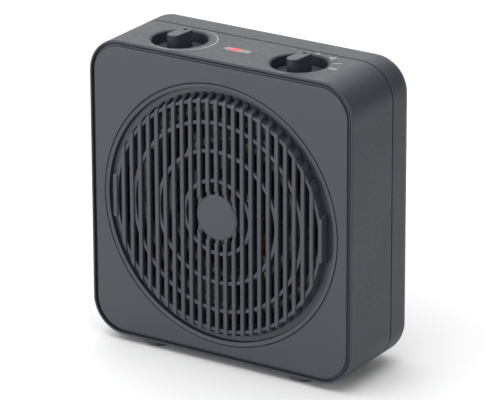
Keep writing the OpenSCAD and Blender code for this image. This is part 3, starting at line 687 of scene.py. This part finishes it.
def make_front_panel():
    """Square plate set into the rim: flange, raised face with a soft edge, round opening."""
    flange, raised, step = 3.0 * MM, 4.3 * MM, 1.6 * MM
    back = FRONT + 3 * MM
    opening = BEZEL_R + 0.6 * MM
    corners = [
        (flange + 8 * MM, back, 0),
        (flange, back, 0.2),
        (flange, FRONT + step, 0.2),
        (raised, FRONT + step, 0.15),
        (raised, FRONT, 0.7),
        (raised + 2 * MM, FRONT, 0),
    ]
    loops = profile_loops(corners, 5)
    edge = [(opening + 3 * MM, FRONT, 0), (opening, FRONT, 0.5), (opening, back, 0)]
    loops += [round_hole(r, y) for r, y in filleted(edge, 5, closed=False)]
    panel = plain_object("front_panel_skin", Shape().loops(loops, close=True))
    settle(panel, "panel_plastic", "front_panel")


# -------- outlet grille
BARS, BAR_PITCH, BAR_W = 25, 7.2 * MM, 3.2 * MM
BARS_R, LEG_RISE, BAR_SOFT = 87.8 * MM, 3.2 * MM, 0.55 * MM
RING_WALL_R, RING_W, RING_DEPTH, RING_BEHIND = 87.0 * MM, 2.7 * MM, 3.2 * MM, 1.4 * MM
RING_RADII = (28.7 * MM, 50.7 * MM, 71.9 * MM)
DISC_R, DISC_BEHIND = 17 * MM, 0.7 * MM
RECESS, BAR_BACK = 4 * MM, 5.4 * MM
BAR_DEEP, HEEL_R = 3.6 * MM, 83.8 * MM


def path_rows(corners, kind, steps=6):
    """Points of a filleted (a, y) path with the normal that points out of the bar."""
    path = filleted(corners, steps, closed=False)
    rows = []
    for k, here in enumerate(path):
        step = path[min(k + 1, len(path) - 1)] - path[max(k - 1, 0)]
        step = step / np.linalg.norm(step)
        rows.append((kind, here, np.array((-step[1], step[0]))))
    return rows


def bar_shape(x_mid):
    """One upright bar: a deep blade whose softened front bends back to the rim at each end."""
    low = FRONT - PROUD
    quarter = np.linspace(0, math.pi / 2, 5)
    soft = [(BAR_SOFT * (1 - math.cos(t)), BAR_SOFT * (1 - math.sin(t))) for t in quarter]
    # across the bar: (offset from its middle, depth below its outline)
    across = [(-BAR_W / 2 + a, b) for a, b in soft]
    across += [(BAR_W / 2 - a, b) for a, b in reversed(soft)]
    outer = [
        (LEG_RISE, FRONT + RECESS + 0.5 * MM, 0),
        (LEG_RISE, FRONT + RECESS - 0.4 * MM, 1.2),
        (0.2 * MM, low, 1.7),
        (-6 * MM, low, 0),
    ]
    path = path_rows(outer, "end")
    split = abs(x_mid) < DISC_R
    if split:
        start = DISC_R + 2.6 * MM
        neck = low + RING_BEHIND
        inner = [
            (start + 4 * MM, low, 0),
            (start, low, 0.9),
            (start - 0.5 * MM, neck, 0.25),
            (DISC_R - 0.8 * MM, neck, 0),
        ]
        path += path_rows(inner, "disc", 4)
    square_end = abs(x_mid) > BARS_R - BAR_W

    def row(entry, direction):
        kind, here, normal = entry
        points = []
        for offset, sunk in across:
            a, y = here - normal * sunk
            x = x_mid + offset
            reach = x_mid if square_end else x
            if kind == "end":
                z = math.sqrt(BARS_R**2 - reach**2) + a
            else:
                z = math.sqrt(max(a * a - x * x, 0.0))
            points.append((x, y, AXIS_Z + direction * z))
        return points

    thin, deep = low + BAR_DEEP, FRONT + BAR_BACK
    edge = abs(x_mid) + BAR_W / 2
    heel = math.sqrt(HEEL_R**2 - edge**2) if edge < HEEL_R else 0
    shape = Shape()
    if split:
        for direction in (1, -1):
            back = [(AXIS_Z + direction * heel, y) for y in (thin, deep)]
            skin_bar(shape, [row(entry, direction) for entry in path], back, thin, deep)
    else:
        steps = ((-1, deep), (-1, thin), (1, thin), (1, deep)) if heel else ()
        back = [(AXIS_Z + side * heel, y) for side, y in steps]
        rows = [row(entry, 1) for entry in path]
        skin_bar(shape, rows + [row(entry, -1) for entry in reversed(path)], back, deep, deep)
    return shape


def skin_bar(shape, rows, back, last_y, first_y):
    """Closes a bar's front skin with flat sides and a stepped back.

    back holds the (z, y) corners of the back on the way from the last row to the first one.
    """
    base, width, count = len(shape.points), len(rows[0]), len(rows)
    for row in rows:
        shape.points += [tuple(map(float, p)) for p in row]
    for i in range(count - 1):
        for k in range(width - 1):
            a, b = base + i * width + k, base + (i + 1) * width + k
            shape.faces.append((a, a + 1, b + 1, b))
    first = len(shape.points)
    sides = (0, width - 1)
    corners = [[(rows[-1][k][2], last_y), *back, (rows[0][k][2], first_y)] for k in sides]
    for left_corner, right_corner in zip(*corners):
        for k, (z, y) in zip(sides, (left_corner, right_corner)):
            shape.points.append((float(rows[0][k][0]), float(y), float(z)))
    total = len(corners[0])
    left = [base + i * width for i in range(count)] + [first + 2 * k for k in range(total)]
    right = [base + i * width + width - 1 for i in range(count)]
    right += [first + 2 * k + 1 for k in range(total)]
    shape.faces.append(tuple(left))
    shape.faces.append(tuple(reversed(right)))
    for k in range(first, first + 2 * (total - 1), 2):
        shape.faces.append((k, k + 2, k + 3, k + 1))
    end, last = first + 2 * (total - 1), base + (count - 1) * width
    shape.faces.append((end, *range(base, base + width), end + 1))
    shape.faces.append((first + 1, *reversed(range(last, last + width)), first))


def make_grille():
    """The outlet moulding: dished rim, recess floor, ring wall, bars, three rings, disc."""
    low = FRONT - PROUD
    wall_in = RING_WALL_R - 2.4 * MM
    rim = [
        (BEZEL_R, FRONT + 3 * MM, 0),
        (BEZEL_R, FRONT, 0.3),
        (BEZEL_R - 3.0 * MM, FRONT + 0.35 * MM, 0.35),
        (BEZEL_R - 3.4 * MM, FRONT + RECESS, 0.7),
        (RING_WALL_R + 0.1 * MM, FRONT + RECESS, 0.4),
        (RING_WALL_R, low + 1.2 * MM, 0.35),
        (wall_in, low + 1.2 * MM, 0.35),
        (wall_in, FRONT + BAR_BACK + 0.6 * MM, 0.2),
        (BEZEL_R - 4.5 * MM, FRONT + BAR_BACK, 0),
        (BEZEL_R - 4.5 * MM, FRONT + 9 * MM, 0),
        (BEZEL_R - 2.0 * MM, FRONT + 9 * MM, 0),
        (BEZEL_R - 2.0 * MM, FRONT + 3 * MM, 0),
    ]
    grille = plain_object("outlet_grille", Shape().lathe(rim, AXIS, "Y", 192, steps=5))
    bars = Shape()
    for i in range(BARS):
        bars.merge(bar_shape((i - (BARS - 1) / 2) * BAR_PITCH))
    rings = Shape()
    front = low + RING_BEHIND
    for radius in RING_RADII:
        section = [
            (radius, front, 0.35),
            (radius - RING_W, front, 0.35),
            (radius - RING_W, front + RING_DEPTH, 0.2),
            (radius, front + RING_DEPTH, 0.2),
        ]
        rings.lathe(section, AXIS, "Y", 160)
    front = low + DISC_BEHIND
    disc = [
        (1 * MM, low + 3 * MM, 0),
        (DISC_R - 2 * MM, low + 3 * MM, 0.3),
        (DISC_R - 2 * MM, FRONT + BAR_BACK + 0.1 * MM, 0.2),
        (DISC_R, FRONT + BAR_BACK + 0.1 * MM, 0.2),
        (DISC_R, front + 0.7 * MM, 0.3),
        (DISC_R - 1.3 * MM, front + 0.1 * MM, 0.15),
        (DISC_R - 1.5 * MM, front, 0.2),
        (1 * MM, front, 0),
    ]
    combine(grille, "UNION", bars, rings, Shape().lathe(disc, AXIS, "Y", 128, False))
    settle(grille, "grille_plastic", "front_grille", sharp=28)


# -------- controls
KNOB_FILLET, GRIP_FILLET = 0.7, 0.6
KNOB_T, KNOB_R, SPINDLE_R, GRIP_L, GRIP_W = 1.6 * MM, 19.6 * MM, 3 * MM, 23 * MM, 9.8 * MM
GRIP_TURN = Matrix.Rotation(math.radians(-5), 3, "Z")
POINTER_R, POINTER_DEEP, POINTER_R_AT = 1.6 * MM, 0.9 * MM, 6.5 * MM


def turned(loop, centre):
    """A loop turned about a knob's centre to the place where its grip stands."""
    return [centre + GRIP_TURN @ (Vector(p) - centre) for p in loop]


def grip_loop(centre, inset, z):
    loop = pill_loop(centre, GRIP_L - 2 * inset, GRIP_W - 2 * inset, z, 16, "Y")
    return turned(loop, centre)


def make_knob(body):
    """Disc in the well with an upright grip, a pointer dimple and a hole for the spindle."""
    node = body + "_knob"
    centre = axis_of(node)
    low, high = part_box(node)
    face = low.z + KNOB_T
    disc = [
        (1 * MM, low.z, 0),
        (KNOB_R, low.z, 0.2),
        (KNOB_R, face, KNOB_FILLET),
        (1 * MM, face, 0),
    ]
    knob = plain_object(node + "_moulding", Shape().lathe(disc, centre, "Z", 128, False))
    side = [
        (-0.5 * MM, low.z + 0.5 * MM, 0),
        (-0.5 * MM, face, 0),
        (0, face + 0.5 * MM, 0.4),
        (0, high.z, GRIP_FILLET),
        (2 * MM, high.z, 0),
    ]
    levels = filleted(side, 5, closed=False)
    combine(knob, "UNION", Shape().prism([grip_loop(centre, inset, z) for inset, z in levels]))
    tip = turned([(centre.x, centre.y + POINTER_R_AT, 0)], centre)[0]
    dimple = [
        (0.2 * MM, high.z - POINTER_DEEP),
        (POINTER_R, high.z - POINTER_DEEP),
        (POINTER_R + 0.2 * MM, high.z + 0.5 * MM),
    ]
    mark = Shape().lathe(dimple, tip, "Z", 32, False)
    bore = [(SPINDLE_R, low.z - 1 * MM), (SPINDLE_R, low.z + 8 * MM)]
    combine(knob, "DIFFERENCE", mark, Shape().lathe(bore, centre, "Z", 48, False))
    settle(knob, "knob_plastic", node, body, sharp=30)


PRINT_LOW, PRINT_HIGH = TOP - 0.2 * MM, TOP + 0.04 * MM
CRESCENT_R, CRESCENT_W, CRESCENT_SPAN = 24.3 * MM, 0.62 * MM, (-8, 232)
# where the off ring and the fan stand: distance from the knob's middle, degrees round it
OFF_AT, OFF_RADII, FAN_AT = (24.2 * MM, 1), (1 * MM, 1.6 * MM), (25.6 * MM, 34)
# widths along a blade of the printed fan, in mm
FAN_WIDTHS = (0.6, 0.95, 1.3, 1.5, 1.45, 1.1, 0.5)
# each heat stroke: degrees round the knob, shift to the side in mm
STROKES, STROKE_ENDS, STROKE_W = ((61, 0), (87, -0.95), (87, 0.95)), (23.6 * MM, 30 * MM), 0.8 * MM


def ribbon(shape, path, widths):
    """A printed line that follows a path on the top, with a width at each point."""
    left, right = [], []
    for k, (here, width) in enumerate(zip(path, widths)):
        step = path[min(k + 1, len(path) - 1)] - path[max(k - 1, 0)]
        side = np.array((-step[1], step[0])) / np.linalg.norm(step) * width / 2
        left.append(here + side)
        right.append(here - side)
    outline = left + right[::-1]
    shape.prism([[(p[0], p[1], z) for p in outline] for z in (PRINT_LOW, PRINT_HIGH)])


def around(centre, radius, degrees):
    """A point at a radius from a knob's centre, by its angle clockwise from straight back."""
    t = math.radians(degrees)
    return np.array((centre.x + radius * math.sin(t), centre.y + radius * math.cos(t)))


def make_crescent():
    """Thin arc beside the thermostat knob that swells from nothing at its cool end."""
    knob = axis_of("thermostat_knob")
    middle = Vector((knob.x + 2.8 * MM, knob.y + 0.9 * MM, 0))
    first, last = CRESCENT_SPAN
    angles = np.linspace(first, last, 73)
    path = [around(middle, CRESCENT_R, a) for a in angles]
    swell = np.clip(np.minimum((angles - first) / 60, (last - angles) / 50), 0.25, 1)
    shape = Shape()
    ribbon(shape, path, CRESCENT_W * swell)
    piece("thermostat_scale", shape, finish=PRINT)


def make_mode_marks():
    """Marks round the mode knob: a ring for off, a fan, one stroke and two strokes."""
    knob = axis_of("mode_knob")
    shape = Shape()
    inner, outer = OFF_RADII
    ring = [(inner, PRINT_LOW), (outer, PRINT_LOW), (outer, PRINT_HIGH), (inner, PRINT_HIGH)]
    shape.lathe(ring, (*around(knob, *OFF_AT), 0), "Z", 32)
    fan = around(knob, *FAN_AT)
    for blade in range(3):
        start = math.radians(120 * blade + 20)
        path = []
        for w in np.linspace(0, 1, len(FAN_WIDTHS)):
            t = start + 0.9 * w**1.3
            path.append(fan + (0.5 + 2.3 * w) * MM * np.array((math.cos(t), math.sin(t))))
        ribbon(shape, path, np.array(FAN_WIDTHS) * MM)
    for degrees, shift in STROKES:
        out = around(knob, 1, degrees) - around(knob, 0, degrees)
        side = np.array((-out[1], out[0])) * shift * MM
        path = [around(knob, r, degrees) + side for r in STROKE_ENDS]
        ribbon(shape, path, [STROKE_W] * 2)
    piece("mode_scale", shape, finish=PRINT)


def make_lens():
    """Frosted window with a soft raised edge and the ledge that holds it under the top."""
    centre = middle_of("indicator_lens")
    low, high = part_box("indicator_lens")
    ledge = 4 * MM
    side = [
        (-ledge / 2, low.z, 0),
        (-ledge / 2, low.z + 1.4 * MM, 0.2),
        (0, low.z + 1.4 * MM, 0.1),
        (0, high.z, 0.28),
        (2 * MM, high.z, 0),
    ]
    levels = filleted(side, 5, closed=False)
    loops = [pill_loop(centre, LENS_L - 2 * a, LENS_W - 2 * a, z, 14) for a, z in levels]
    piece("indicator_window", Shape().prism(loops), "lens_plastic", "indicator_lens", sharp=40)


# -------- feet, screws, cord inlet
def make_foot(node):
    """Rubber foot: soft lower edge, a waist line, a ring groove and the screw's well."""
    low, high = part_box(node)
    radius = (high.x - low.x) / 2
    profile = [
        (1.7 * MM, high.z, 0),
        (radius, high.z, 0.2),
        (radius, high.z - 1.5 * MM, 0.1),
        (radius - 0.35 * MM, high.z - 1.7 * MM, 0.1),
        (radius, high.z - 1.9 * MM, 0.1),
        (radius, low.z, 1.1),
        (radius - 2.6 * MM, low.z, 0.2),
        (radius - 3.0 * MM, low.z + 0.6 * MM, 0.2),
        (radius - 3.9 * MM, low.z + 0.6 * MM, 0.2),
        (radius - 4.3 * MM, low.z, 0.2),
        (3.6 * MM, low.z, 0.3),
        (3.6 * MM, low.z + 2.4 * MM, 0),
        (1.7 * MM, low.z + 2.4 * MM, 0),
    ]
    shape = Shape().lathe(profile, axis_of(node), "Z", 72)
    piece(node + "_pad", shape, "foot_rubber", node)


SCREW_R, THREAD_PITCH, HEAD_R = 1.5 * MM, 1.4 * MM, 3 * MM
CROSS_L, CROSS_W = 3.4 * MM, 0.7 * MM


def row_of(part, places, axis, way):
    """Copies of a part that was modelled along +Z, at each place and along an axis."""
    copies = Shape()
    for x, y, z in places:
        laid = Shape()
        laid.faces = part.faces
        if axis == "Y":
            laid.points = [(x + u, y + way * along, z + v) for u, v, along in part.points]
        else:
            laid.points = [(x + u, y + v, z + way * along) for u, v, along in part.points]
        copies.merge(laid)
    return copies


def make_screws(name, node, places, axis, way, head_h, length):
    """Domed cross-head screws as one piece, with their heads before the places."""
    profile = [
        (1.2 * MM, -0.9 * head_h, 0),
        (0.75 * HEAD_R, -0.85 * head_h, 0.4),
        (HEAD_R, -0.25 * head_h, 0.3),
        (HEAD_R, 0, 0),
        (SCREW_R, 0, 0.1),
    ]
    for k in range(int(length / THREAD_PITCH) - 1):
        groove = (k + 0.5) * THREAD_PITCH
        profile += [(SCREW_R * 0.8, groove, 0), (SCREW_R, groove + THREAD_PITCH / 2, 0)]
    profile += [(SCREW_R * 0.5, length, 0)]
    blank = Shape().lathe(profile, (0, 0, 0), "Z", 32, False, 3)
    screws = plain_object(name, row_of(blank, places, axis, way))
    # one bar of the cross is a hair shorter, so that no faces of the two coincide
    for a, b in ((CROSS_L, CROSS_W), (CROSS_W, CROSS_L * 0.999)):
        outline = [(u * a / 2, v * b / 2) for u, v in CORNERS]
        levels = (-1.3 * head_h, -0.35 * head_h)
        bar = Shape().prism([[(u, v, depth) for u, v in outline] for depth in levels])
        combine(screws, "DIFFERENCE", row_of(bar, places, axis, way))
    settle(screws, "screw_steel", node)


FEET = sorted(node for node in NODES if node.startswith("foot_") and node != "foot_screws")


def make_fasteners():
    low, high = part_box("shell_screws")
    length = HEAD_Y - low.y
    make_screws("shell_screw_set", "shell_screws", post_places(HEAD_Y), "Y", -1, 2 * MM, length)
    low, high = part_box("foot_screws")
    start = low.z + 1.8 * MM
    places = [axis_of(foot) + Vector((0, 0, start)) for foot in FEET]
    make_screws("foot_screw_set", "foot_screws", places, "Z", 1, 1.8 * MM, high.z - start)


def make_gland():
    """Rubber grommet of the cord inlet, with a rounded mouth."""
    low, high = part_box("cord_gland")
    collar, neck, flange, bore = 8.2 * MM, 5.9 * MM, 7.4 * MM, 3.6 * MM
    profile = [
        (bore, low.y, 0.3),
        (flange, low.y, 0.6),
        (flange, REAR - WALL, 0.2),
        (neck, REAR - WALL, 0),
        (neck, REAR - 1 * MM, 0),
        (collar, REAR - 1 * MM, 0.1),
        (collar, high.y, 0.45),
        (bore, high.y, 0.5),
    ]
    shape = Shape().lathe(profile, axis_of("cord_gland", "Y"), "Y", 72)
    piece("cord_grommet", shape, "gland_rubber", "cord_gland")


# -------- heater and fan
COIL_WIRE_R, COIL_PITCH, COIL_OPEN = 0.32 * MM, 1.15 * MM, 20


def make_coil(node):
    """Resistance wire wound into a fine spring and bent into a ring, open near the top."""
    low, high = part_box(node)
    tube_r = (high.y - low.y) / 2
    ring_r = (high.x - low.x) / 2 - tube_r
    along, wound_r = (low.y + high.y) / 2, tube_r - COIL_WIRE_R
    start = math.radians(90 - COIL_OPEN / 2)
    sweep = math.radians(360 - COIL_OPEN)
    turns = int(ring_r * sweep / COIL_PITCH)
    per_turn, sides = 10, 4
    steps = turns * per_turn
    k = np.arange(steps + 1)
    ring_t = start - sweep * k / steps
    wind_t = 2 * math.pi * turns * k / steps
    out = np.stack((np.cos(ring_t), np.zeros(steps + 1), np.sin(ring_t)), 1)
    back = np.array((0.0, 1.0, 0.0))
    centre = np.array((0, along, AXIS_Z)) + ring_r * out
    radial = np.cos(wind_t)[:, None] * out + np.sin(wind_t)[:, None] * back
    path = centre + wound_r * radial
    tangent = np.gradient(path, axis=0)
    tangent /= np.linalg.norm(tangent, axis=1)[:, None]
    normal = radial - (radial * tangent).sum(1)[:, None] * tangent
    normal /= np.linalg.norm(normal, axis=1)[:, None]
    binormal = np.cross(tangent, normal)
    around_wire = np.arange(sides) * 2 * math.pi / sides
    loops = [
        [p + COIL_WIRE_R * (math.cos(t) * n + math.sin(t) * b) for t in around_wire]
        for p, n, b in zip(path, normal, binormal)
    ]
    wire = Shape().prism(loops)
    piece(node + "_wire", wire, "heating_wire", node, sharp=120, smooth_flats=False)


BLADES, BLADE_ROOT_R, BLADE_TIP_R, BLADE_REACH = 7, 15.6 * MM, 79 * MM, 17.5 * MM


def blade_loop(w, start, middle, half_depth):
    """A blade's section at the share w of its span: steep at the root, flatter at the tip."""
    radius = BLADE_ROOT_R + (BLADE_TIP_R - BLADE_ROOT_R) * w
    pitch = math.radians(52 - 32 * w**0.8)
    reach = min(half_depth * 0.97 / math.sin(pitch), BLADE_REACH)
    reach *= 1 - 0.35 * max(0.0, (w - 0.86) / 0.14) ** 2
    thick, limit = (0.9 - 0.3 * w) * MM, half_depth * 0.995
    loop = []
    for side in (1, -1):
        for k in range(9):
            u = (1 - 2 * k / 8) * side
            edge = thick * max(0.25, math.sqrt(max(0.0, 1 - u**4)))
            offset = 1.3 * MM * (1 - u * u) + side * edge
            across = u * reach * math.cos(pitch) - offset * math.sin(pitch)
            along = u * reach * math.sin(pitch) + offset * math.cos(pitch)
            y = middle + max(-limit, min(limit, along))
            turn = across / radius + start + 0.2 * w
            loop.append((radius * math.cos(turn), y, AXIS_Z + radius * math.sin(turn)))
    return loop


def make_impeller():
    """Fan with twisted, cambered blades on a dished hub."""
    low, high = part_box("fan_impeller")
    middle, half_depth = (low.y + high.y) / 2, (high.y - low.y) / 2
    hub = [
        (2.05 * MM, low.y, 0.2),
        (17 * MM, low.y, 2),
        (17 * MM, high.y, 0.4),
        (14.8 * MM, high.y, 0.3),
        (14.8 * MM, low.y + 2.2 * MM, 0.6),
        (5.2 * MM, low.y + 2.2 * MM, 0.4),
        (5.0 * MM, high.y - 1 * MM, 0.3),
        (2.05 * MM, high.y - 1 * MM, 0),
    ]
    fan = plain_object("impeller", Shape().lathe(hub, AXIS, "Y", 96))
    blades = Shape()
    for blade in range(BLADES):
        start = 2 * math.pi * blade / BLADES
        blades.prism([blade_loop(w, start, middle, half_depth) for w in np.linspace(0, 1, 15)])
    combine(fan, "UNION", blades)
    settle(fan, "fan_plastic", "fan_impeller", "fan", sharp=40)


def make_winding():
    """Motor winding: close turns of wire round the lower limb of the laminations."""
    low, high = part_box("motor_coil")
    centre = (low + high) / 2
    turn = 0.8 * MM
    count = int((high.x - low.x) / turn)
    pitch = (high.x - low.x) / count

    def section(x, half_y, half_z, fillet):
        corners = [(a * half_y, b * half_z, fillet) for a, b in CORNERS]
        return [(x, centre.y + a, centre.z + b) for a, b in filleted(corners, 6)]

    half_y, half_z = (high.y - low.y) / 2, (high.z - low.z) / 2
    inner = 3.25 * MM
    loops = [section(low.x, half_y - inner, half_z - inner, 0.3)]
    for k in range(count):
        for j in range(4):
            t = math.pi * (j + 0.5) / 4
            sunk = pitch / 2 * (1 - math.sin(t))
            x = low.x + pitch * (k + 0.5 - 0.5 * math.cos(t))
            loops.append(section(x, half_y - sunk, half_z - sunk, 2.5))
    loops.append(section(high.x, half_y - inner, half_z - inner, 0.3))
    shape = Shape().loops(loops, close=True)
    piece("motor_winding", shape, "copper_winding", "motor_coil", sharp=70)


# -------- scene
def floor_paper(tone):
    """Plain matt paper."""
    m = Nodes("floor_paper")
    m.colour(m.noise(400, 2), tone * 0.99, tone)
    m.set(Roughness=0.9, Specular_IOR_Level=0.1)
    return m.material


FLOOR_REACH, FLOOR_TONE, SKY = 8.0, 0.86, 0.16
# each soft light: place, the point that it faces, its width and height, watts
LIGHTS = {
    "overhead": ((-0.2, -0.2, 1.8), (0, 0, 0.1), (3.0, 3.0), 62),
    "back_card": ((-0.9, 1.7, 1.0), (0, 0, 0.2), (2.4, 1.2), 18),
    "front_card": ((-0.9, -1.8, 0.35), (0, 0, 0.1), (1.6, 0.9), 24),
    "right_card": ((1.7, -0.6, 0.7), (0, 0, 0.2), (0.9, 0.9), 7),
}


def studio():
    """Pale floor, even sky and four soft lights."""
    sheet = Shape()
    sheet.points = [(x * FLOOR_REACH, y * FLOOR_REACH, 0) for x, y in CORNERS]
    sheet.faces = [(0, 1, 2, 3)]
    floor = plain_object("floor", sheet)
    floor.data.materials.append(floor_paper(FLOOR_TONE))

    world = bpy.data.worlds.new("studio")
    bpy.context.scene.world = world
    world.use_nodes = True
    sky = world.node_tree.nodes["Background"]
    sky.inputs["Color"].default_value = (1.0, 1.0, 1.0, 1)
    sky.inputs["Strength"].default_value = SKY

    for name, (place, aim, size, power) in LIGHTS.items():
        light = bpy.data.lights.new(name, "AREA")
        light.shape = "RECTANGLE"
        light.size, light.size_y = size
        light.energy = power
        lamp = placed(name, light)
        lamp.location = place
        lamp.rotation_mode = "QUATERNION"
        lamp.rotation_quaternion = (Vector(aim) - Vector(place)).to_track_quat("-Z", "Y")


# the camera as fitted to the photograph's view: degrees, metres, and mm for the lens
AZIMUTH, ELEVATION, ROLL = 32.8323, 20.5404, -0.2117
DISTANCE, RIGHT_SHIFT, DOWN_SHIFT, AIM_Z = 2.85346, 0.021833, 0.009918, 0.137
SENSOR, LENS = 36.0, 291.14


def camera():
    """The photograph's point of view: long lens, to the right of the front and above."""
    azimuth, elevation, roll = map(math.radians, (AZIMUTH, ELEVATION, ROLL))
    centre = Vector((0, FRONT, AIM_Z))
    level = math.cos(elevation)
    back = Vector((math.sin(azimuth) * level, -math.cos(azimuth) * level, math.sin(elevation)))
    right = Vector((math.cos(azimuth), math.sin(azimuth), 0))
    up = back.cross(right)
    axis_x = right * math.cos(roll) + up * math.sin(roll)
    axis_y = -right * math.sin(roll) + up * math.cos(roll)
    place = centre + back * DISTANCE + axis_x * RIGHT_SHIFT - axis_y * DOWN_SHIFT
    data = bpy.data.cameras.new("camera")
    data.sensor_width = SENSOR
    data.sensor_fit = "HORIZONTAL"
    data.lens = LENS
    data.clip_start, data.clip_end = 0.1, 50
    cam = placed("camera", data)
    turn = Matrix((axis_x, axis_y, back)).transposed().to_4x4()
    cam.matrix_world = Matrix.Translation(place) @ turn
    bpy.context.scene.camera = cam


dress_cad_nodes()
make_front_shell()
make_rear_shell()
make_front_panel()
make_grille()
for control in CONTROLS:
    make_knob(control)
make_crescent()
make_mode_marks()
make_lens()
for foot in FEET:
    make_foot(foot)
make_fasteners()
make_gland()
for coil in ("heating_coil_outer", "heating_coil_inner"):
    make_coil(coil)
make_impeller()
make_winding()
studio()
camera()
bpy.context.scene.view_settings.view_transform = "Standard"

bpy.context.view_layer.update()
